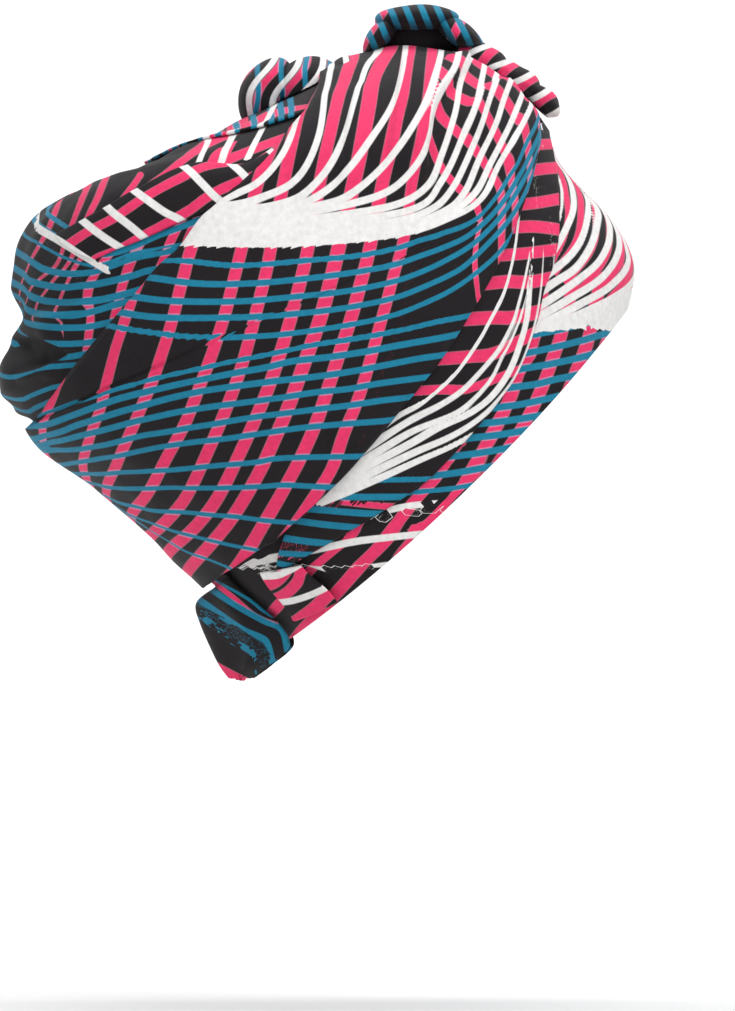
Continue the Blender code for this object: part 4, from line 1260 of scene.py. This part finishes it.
def side_rear_turn(level):
    """Rear edge of the side wrap. Below its corner the wrap goes on round the nape."""
    corner = on_form(np.array([SIDE_REAR_EDGE[0]]), SIDE_LAYER)[0][0]
    return np.where(level < corner, math.pi, edge_turn(SIDE_REAR_EDGE, level, SIDE_LAYER))


def side_grid(rows, across):
    level = even_levels(SIDE_LOW, SIDE_HIGH, rows)
    front = np.maximum(edge_turn(SIDE_FRONT_EDGE, level, SIDE_LAYER), turn_for(level, SLIT / 2))
    return grid_between((level, front), (level, side_rear_turn(level)), across)


def press_edge(columns, reach, drop):
    """Drop towards the first column of a lapped sheet, as cloth pressed down over a fold."""
    return drop * (1 - smooth_step(np.arange(columns) / reach))


def build_side_wrap():
    cloth = Sheet("side_wrap")
    level, turn = side_grid(150, 120)
    points = form_point(level, turn)
    normal = form_normal(level, turn)
    places = print_place(level, turn, lifted(level, turn, level * 0 + SIDE_LAYER))
    folds = fold_lift(places, SIDE_FOLDS)
    away = np.abs(points[..., 0]) - 0.024
    folds *= smooth_step(away / 0.014)
    height = SIDE_LAYER + folds + wrinkles(points, *WAVES["side_wrap"])
    press = press_edge(level.shape[1], 4, 0.0012)
    height -= press + press[::-1]
    height = np.maximum(height, 2.2 * PITCH)
    right = points + normal * height[..., None]
    cloth.add(right, normal, places)
    cloth.add(flip_x(right), flip_x(normal), places)
    cloth.build(SIDE_STRIPES)


def build_second_fold(side):
    cloth = Sheet("second_fold_" + side)
    steps = 150
    front = edge(SECOND_FRONT_EDGE, steps, PITCH)
    rear = edge(SIDE_FRONT_EDGE, steps, PITCH, SECOND_REAR_START)
    rear = (rear[0], rear[1] + turn_for(rear[0], LAP))
    level, turn = grid_between(front, rear, 44)
    points = form_point(level, turn)
    normal = form_normal(level, turn)
    places = print_place(level, turn, lifted(level, turn, level * 0 + PITCH))
    height = PITCH + wrinkles(points, *WAVES["second_fold"]) - press_edge(level.shape[1], 3, 0.0004)
    shaped = points + normal * height[..., None]
    if side == "left":
        shaped = flip_x(shaped)
        normal = flip_x(normal)
    cloth.add(shaped, normal, places)
    cloth.build(SECOND_STRIPES)


def rear_rise(level, turn):
    """Swell of the rear cloth, held down where the side wrap laps over it."""
    turn = np.where(turn > math.pi, 2 * math.pi - turn, turn)
    rise = smooth_step((turn - side_rear_turn(level)) / turn_for(level, PUFF_RISE))
    return PITCH + PUFF_BULGE * table_value(PUFF_SWELL, level) * rise


def rear_grid(low, high, rows, across):
    level = np.linspace(low, high, rows + 1)
    turn = np.minimum(side_rear_turn(level), math.pi - turn_for(level, LAP)) - turn_for(level, LAP)
    return grid_between((level, turn), (level, 2 * math.pi - turn), across)


def build_rear_puff():
    cloth = Sheet("rear_puff")
    level, turn = rear_grid(PUFF_LOW, PUFF_HIGH, 130, 190)
    points = form_point(level, turn)
    normal = form_normal(level, turn)
    rise = rear_rise(level, turn)
    places = print_place_round(level, turn, rise)
    middle_x, middle_y, half_width, left_height, right_height, depth = REAR_HOLLOW
    across = (places[..., 0] - middle_x) / half_width
    half_height = right_height + (left_height - right_height) * np.clip((1 - across) / 2, 0, 1)
    away = np.hypot(across, (places[..., 1] - middle_y) / half_height)
    away = np.where(turn > math.pi, 9.0, away)
    dent = depth * smooth_step((1.3 - away) / 0.8)
    swell = smooth_step((rise - PITCH) / 0.004)
    extra = (fold_lift(places, REAR_FOLDS) + wrinkles(points, *WAVES["rear_puff"])) * swell
    height = np.maximum(rise + extra - dent, 0.8 * PITCH)
    # The print is taken off inside the hollow, so its dark ground stands in for the shade there: painted shade.
    cloth.add(points + normal * height[..., None], normal, places, painted_shade=np.maximum(1.05 - away, 0.0) * 30)
    cloth.build(REAR_STRIPES)


def build_upper_fold():
    cloth = Sheet("upper_fold")
    level, turn = rear_grid(UPPER_LOW, UPPER_HIGH, 50, 150)
    points = form_point(level, turn)
    normal = form_normal(level, turn)
    rise = rear_rise(level, turn)
    lap = PITCH * (1 - smooth_step((level - UPPER_LOW) / 0.05))
    places = print_place_round(level, turn, rise)
    edge_fade = smooth_step((rise - PITCH) / 0.002)
    height = rise + lap + wrinkles(points, *WAVES["upper_fold"]) * edge_fade
    cloth.add(points + normal * height[..., None], normal, places)
    cloth.build(UPPER_STRIPES)


def build_diagonal_fold():
    cloth = Sheet("diagonal_fold")
    upper = edge(DIAGONAL_UPPER_EDGE, 110, PUFF_BULGE / 2)
    lower = edge(DIAGONAL_LOWER_EDGE, 110, PUFF_BULGE / 2)
    level, turn = grid_between(upper, lower, 24)
    points = form_point(level, turn)
    normal = form_normal(level, turn)
    height = rear_rise(level, turn) + PITCH
    places = print_place(level, turn, lifted(level, turn, height))
    s = np.linspace(0, 1, level.shape[1])[None, :]
    height = height + 0.0012 * np.sin(s * math.pi) + wrinkles(points, *WAVES["diagonal_fold"])
    cloth.add(points + normal * height[..., None], normal, places)
    cloth.build(DIAGONAL_STRIPES)


def build_band_end():
    cloth = Sheet("band_end")
    seam = edge(BAND_END_SEAM, 40, BAND_LAYER)
    tip = edge(BAND_END_TIP, 40, BAND_LAYER)
    level, turn = grid_between(seam, tip, 44)
    points = form_point(level, turn)
    normal = form_normal(level, turn)
    height = BAND_LAYER + 0.0006 * np.sin(np.linspace(0, 2 * math.pi, level.shape[0]))[:, None]
    places = print_place(level, turn, lifted(level, turn, level * 0 + BAND_LAYER))
    cloth.add(points + normal * height[..., None], normal, places)
    cloth.build(BAND_STRIPES)


def tail_points(row, across):
    """Points of the nape tail. row runs from its hidden top to its tip, across from -1 to 1."""
    half_width = TAIL_WIDTH / 2
    level = TAIL_TOP + (TAIL_LEAVE - TAIL_TOP) * np.minimum(row / TAIL_HIDDEN, 1)
    hidden = lifted(level, math.pi - turn_for(level, half_width) * across, level * 0 + PITCH)
    leave = np.array(TAIL_LEAVE)
    middle = lifted(leave, np.array(math.pi), np.array(PITCH))
    rim = lifted(leave, math.pi - turn_for(leave, half_width), np.array(PITCH))
    top_row = (0.0, 0.0, (middle[1] - rim[1]) / TAIL_REACH, abs(rim[0]) / half_width)
    share = np.clip((row - TAIL_HIDDEN) / (1 - TAIL_HIDDEN), 0, 1)
    drop, middle_forward, edge_forward, width = np.moveaxis(along((top_row,) + TAIL_ROWS, share), -1, 0)
    bend = math.pi / 2 * across
    forward = middle_forward + (edge_forward - middle_forward) * (1 - np.cos(bend))
    rise = (rim[2] - middle[2]) * (1 - np.cos(bend)) * (1 - share) ** 3
    ruffle = 0.0022 * np.sin(across * 9 + 0.6) * smooth_step(share / 0.4)
    hanging = np.stack((
        -half_width * width * np.sin(bend),
        middle[1] - forward * TAIL_REACH + ruffle,
        middle[2] - drop * TAIL_DROP + rise,
    ), -1)
    return np.where((row <= TAIL_HIDDEN)[..., None], hidden, hanging)


def build_nape_tail():
    cloth = Sheet("nape_tail")
    row, across = np.meshgrid(np.linspace(0, 1, 91), np.linspace(-1, 1, 121), indexing="ij")
    points = tail_points(row, across)
    outward = np.stack((-across, across * 0 + 1, across * 0), -1)
    cloth.add(points, outward, chart(points))
    cloth.build(TAIL_STRIPES)


def cover():
    """Search tree of the form lifted to the top of the side wrap."""
    level, turn = np.meshgrid(np.linspace(0, 1, 61), np.linspace(0, 2 * math.pi, 97) + 0.03, indexing="ij")
    points = lifted(level, turn, level * 0 + SIDE_LAYER + AIR).reshape(-1, 3)
    index = np.arange(level.size).reshape(level.shape)
    return BVHTree.FromPolygons(points.tolist(), grid_quads(index).tolist())


COVER = cover()


def cover_height(x, y):
    hit = COVER.ray_cast(Vector((x, y, HEIGHT)), Vector((0, 0, -1)))[0]
    return hit.z if hit else 0.1


# How far a lobe's underside lies below the top of the cloth that carries it
LOBE_SINK = 0.0045
# Steps along a lobe and around it, and the power that fills out its ends
LOBE_STEPS = 64
LOBE_SIDES = 72
LOBE_POWER = 0.7


class Roll(Sheet):
    """Small closed lobes of folded cloth, joined."""

    def declare(self, thing):
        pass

    def lobe(self, centre, radii, tilt, half_width, lean=0.0, flute=(0, 0.0), painted_shade=False):
        """centre and radii: on the chart. tilt in degrees. flute: count and depth of its gathers."""
        lengthwise = np.linspace(0, math.pi, LOBE_STEPS + 1)
        u, v = np.meshgrid(lengthwise, np.linspace(0, math.tau, LOBE_SIDES + 1), indexing="ij")
        across = -np.cos(u)
        ring = np.sin(u) ** LOBE_POWER
        wave = 1 + flute[1] * np.cos(flute[0] * v + 2 * across)
        local = np.stack((np.cos(v) * radii[0], np.sin(v) * radii[1]), -1) * (ring * wave)[..., None]
        angle = math.radians(tilt)
        turned = np.stack((
            local[..., 0] * math.cos(angle) - local[..., 1] * math.sin(angle),
            local[..., 0] * math.sin(angle) + local[..., 1] * math.cos(angle),
        ), -1)
        places = np.array(centre) + turned + np.stack((lean * across, across * 0), -1)
        points = chart_place(places[..., 0], places[..., 1])
        points[..., 0] = -half_width * across
        for point in points.reshape(-1, 3):
            point[2] = max(point[2], cover_height(point[0], point[1]) - LOBE_SINK)
        count = points.shape[0] * points.shape[1]
        index = np.arange(count).reshape(points.shape[:2]) + self.count
        self.faces.append(grid_quads(index))
        self.points.append(points.reshape(-1, 3))
        self.places.append(places.reshape(-1, 2))
        # A lobe left without print shows only the dark ground, as a painted shadow.
        self.painted_shade.append(np.full(count, -Stripes.HIDDEN_WIDTH * painted_shade))
        self.count += count


def build_knob():
    roll = Roll("top_knob")
    roll.lobe((416, 19), (42, 14), -2, 0.027, lean=3, flute=(5, 0.02))
    roll.lobe((381, 36), (24, 12), -48, 0.023, flute=(4, 0.03))
    roll.lobe((457, 33), (29, 13), 30, 0.025, flute=(4, 0.03))
    # A narrower lobe without print under the knob: its dark ground is a painted shadow in the gap.
    roll.lobe((418, 38), (46, 22), 0, 0.014, painted_shade=True)
    roll.build({
        "blue": Straight(-24, 14.5, 3.1, 4.0, bend=0.5),
        "pink": Straight(30, 72, 4.2, 50.0, bend=1.0),
    })


def build_rear_roll():
    roll = Roll("rear_roll")
    roll.lobe((266, 92), (25, 37), 30, 0.026, flute=(4, 0.02))
    roll.lobe((313, 90), (38, 33), 12, 0.032, flute=(4, 0.02))
    roll.lobe((350, 78), (25, 22), -20, 0.033, flute=(4, 0.02))
    roll.build({
        "blue": Straight(8, 24, 2.6, 3.0, bend=3.0),
        "white": Straight(16, 24, 3.2, 10.0, bend=7.0),
        "pink": Straight(16, 24, 3.4, 18.0, bend=7.0),
    })


def build_gather():
    roll = Roll("front_gather")
    roll.lobe((482, 64), (30, 20), 30, 0.020, flute=(6, 0.04))
    roll.lobe((515, 82), (30, 17), 30, 0.018, flute=(6, 0.05))
    roll.lobe((541, 101), (22, 14), 38, 0.014, flute=(5, 0.04))
    roll.build({
        "pink": Straight(48, 23, 4.4, 4.0, bend=4.0),
        "white": Straight(52, 23, 3.0, 14.0, bend=4.0),
    })


def build_pieces():
    build_crown()
    build_side_wrap()
    build_second_fold("right")
    build_second_fold("left")
    build_rear_puff()
    build_upper_fold()
    build_diagonal_fold()
    build_band_end()
    build_nape_tail()
    build_knob()
    build_rear_roll()
    build_gather()


# Stage


def plain_material(name, colour, roughness):
    material = bpy.data.materials.new(name)
    material.use_nodes = True
    shader = material.node_tree.nodes["Principled BSDF"]
    shader.inputs["Base Color"].default_value = colour
    shader.inputs["Roughness"].default_value = roughness
    return material


def area_light(name, place, target, size, power):
    light = bpy.data.lights.new(name, "AREA")
    light.shape = "DISK"
    light.size = size
    light.energy = power
    thing = bpy.data.objects.new(name, light)
    thing.location = place
    thing.rotation_euler = (Vector(target) - Vector(place)).to_track_quat("-Z", "Y").to_euler()
    bpy.context.collection.objects.link(thing)
    return thing


def build_stage(middle):
    """A pale floor that sweeps up into a backdrop, lights and the camera."""
    floor_z = chart_place(0, CHART_HEIGHT)[2] + 0.004
    profile = [(-7.0, 0.0), (1.2, 0.0)]
    for step in range(1, 25):
        angle = math.pi / 2 * step / 24
        profile.append((1.2 + 2.8 * math.sin(angle), 2.8 * (1 - math.cos(angle))))
    profile.append((4.0, 6.0))
    points = []
    faces = []
    for x, z in profile:
        for y in (-8.0, 8.0):
            points.append((x, y, floor_z + z))
    for k in range(len(profile) - 1):
        faces.append((2 * k, 2 * k + 2, 2 * k + 3, 2 * k + 1))
    mesh = bpy.data.meshes.new("backdrop")
    mesh.from_pydata(points, [], faces)
    mesh.shade_smooth()
    mesh.materials.append(plain_material("pale_paper", (0.80, 0.80, 0.79, 1.0), 0.9))
    backdrop = bpy.data.objects.new("backdrop", mesh)
    bpy.context.collection.objects.link(backdrop)

    target = (0.0, middle[1], middle[2] + 0.08)
    area_light("key", (-1.9, -1.1, 1.9), target, 1.6, 46.0)
    area_light("fill", (-2.4, 1.6, 0.7), target, 2.2, 16.0)
    area_light("top", (0.2, 0.1, 2.3), target, 1.6, 14.0)
    area_light("wall", (1.0, 0.0, 2.0), (3.6, 0.0, -0.1), 2.8, 58.0)

    world = bpy.data.worlds.new("soft_room")
    world.use_nodes = True
    background = world.node_tree.nodes["Background"]
    background.inputs["Color"].default_value = (0.93, 0.95, 1.0, 1.0)
    background.inputs["Strength"].default_value = 0.55
    bpy.context.scene.world = world

    camera = bpy.data.cameras.new("camera")
    camera.lens = LENS
    camera.sensor_width = SENSOR
    camera.sensor_fit = "VERTICAL"
    camera.sensor_height = SENSOR
    camera.clip_end = 100.0
    holder = bpy.data.objects.new("camera", camera)
    holder.location = (-CAMERA_DISTANCE, middle[1], middle[2])
    holder.rotation_euler = (math.pi / 2, 0.0, -math.pi / 2)
    bpy.context.collection.objects.link(holder)
    bpy.context.scene.camera = holder
    bpy.context.scene.view_settings.view_transform = "Standard"


def visual_box():
    corners = []
    for thing in bpy.data.objects:
        if thing.type == "MESH" and thing.name != "backdrop":
            corners += [thing.matrix_world @ Vector(corner) for corner in thing.bound_box]
    return [[min(c[k] for c in corners) for k in range(3)], [max(c[k] for c in corners) for k in range(3)]]


build_pieces()
build_stage(chart_place(CHART_WIDTH / 2, CHART_HEIGHT / 2))
{"cad": CAD_BOX, "visual": visual_box()}
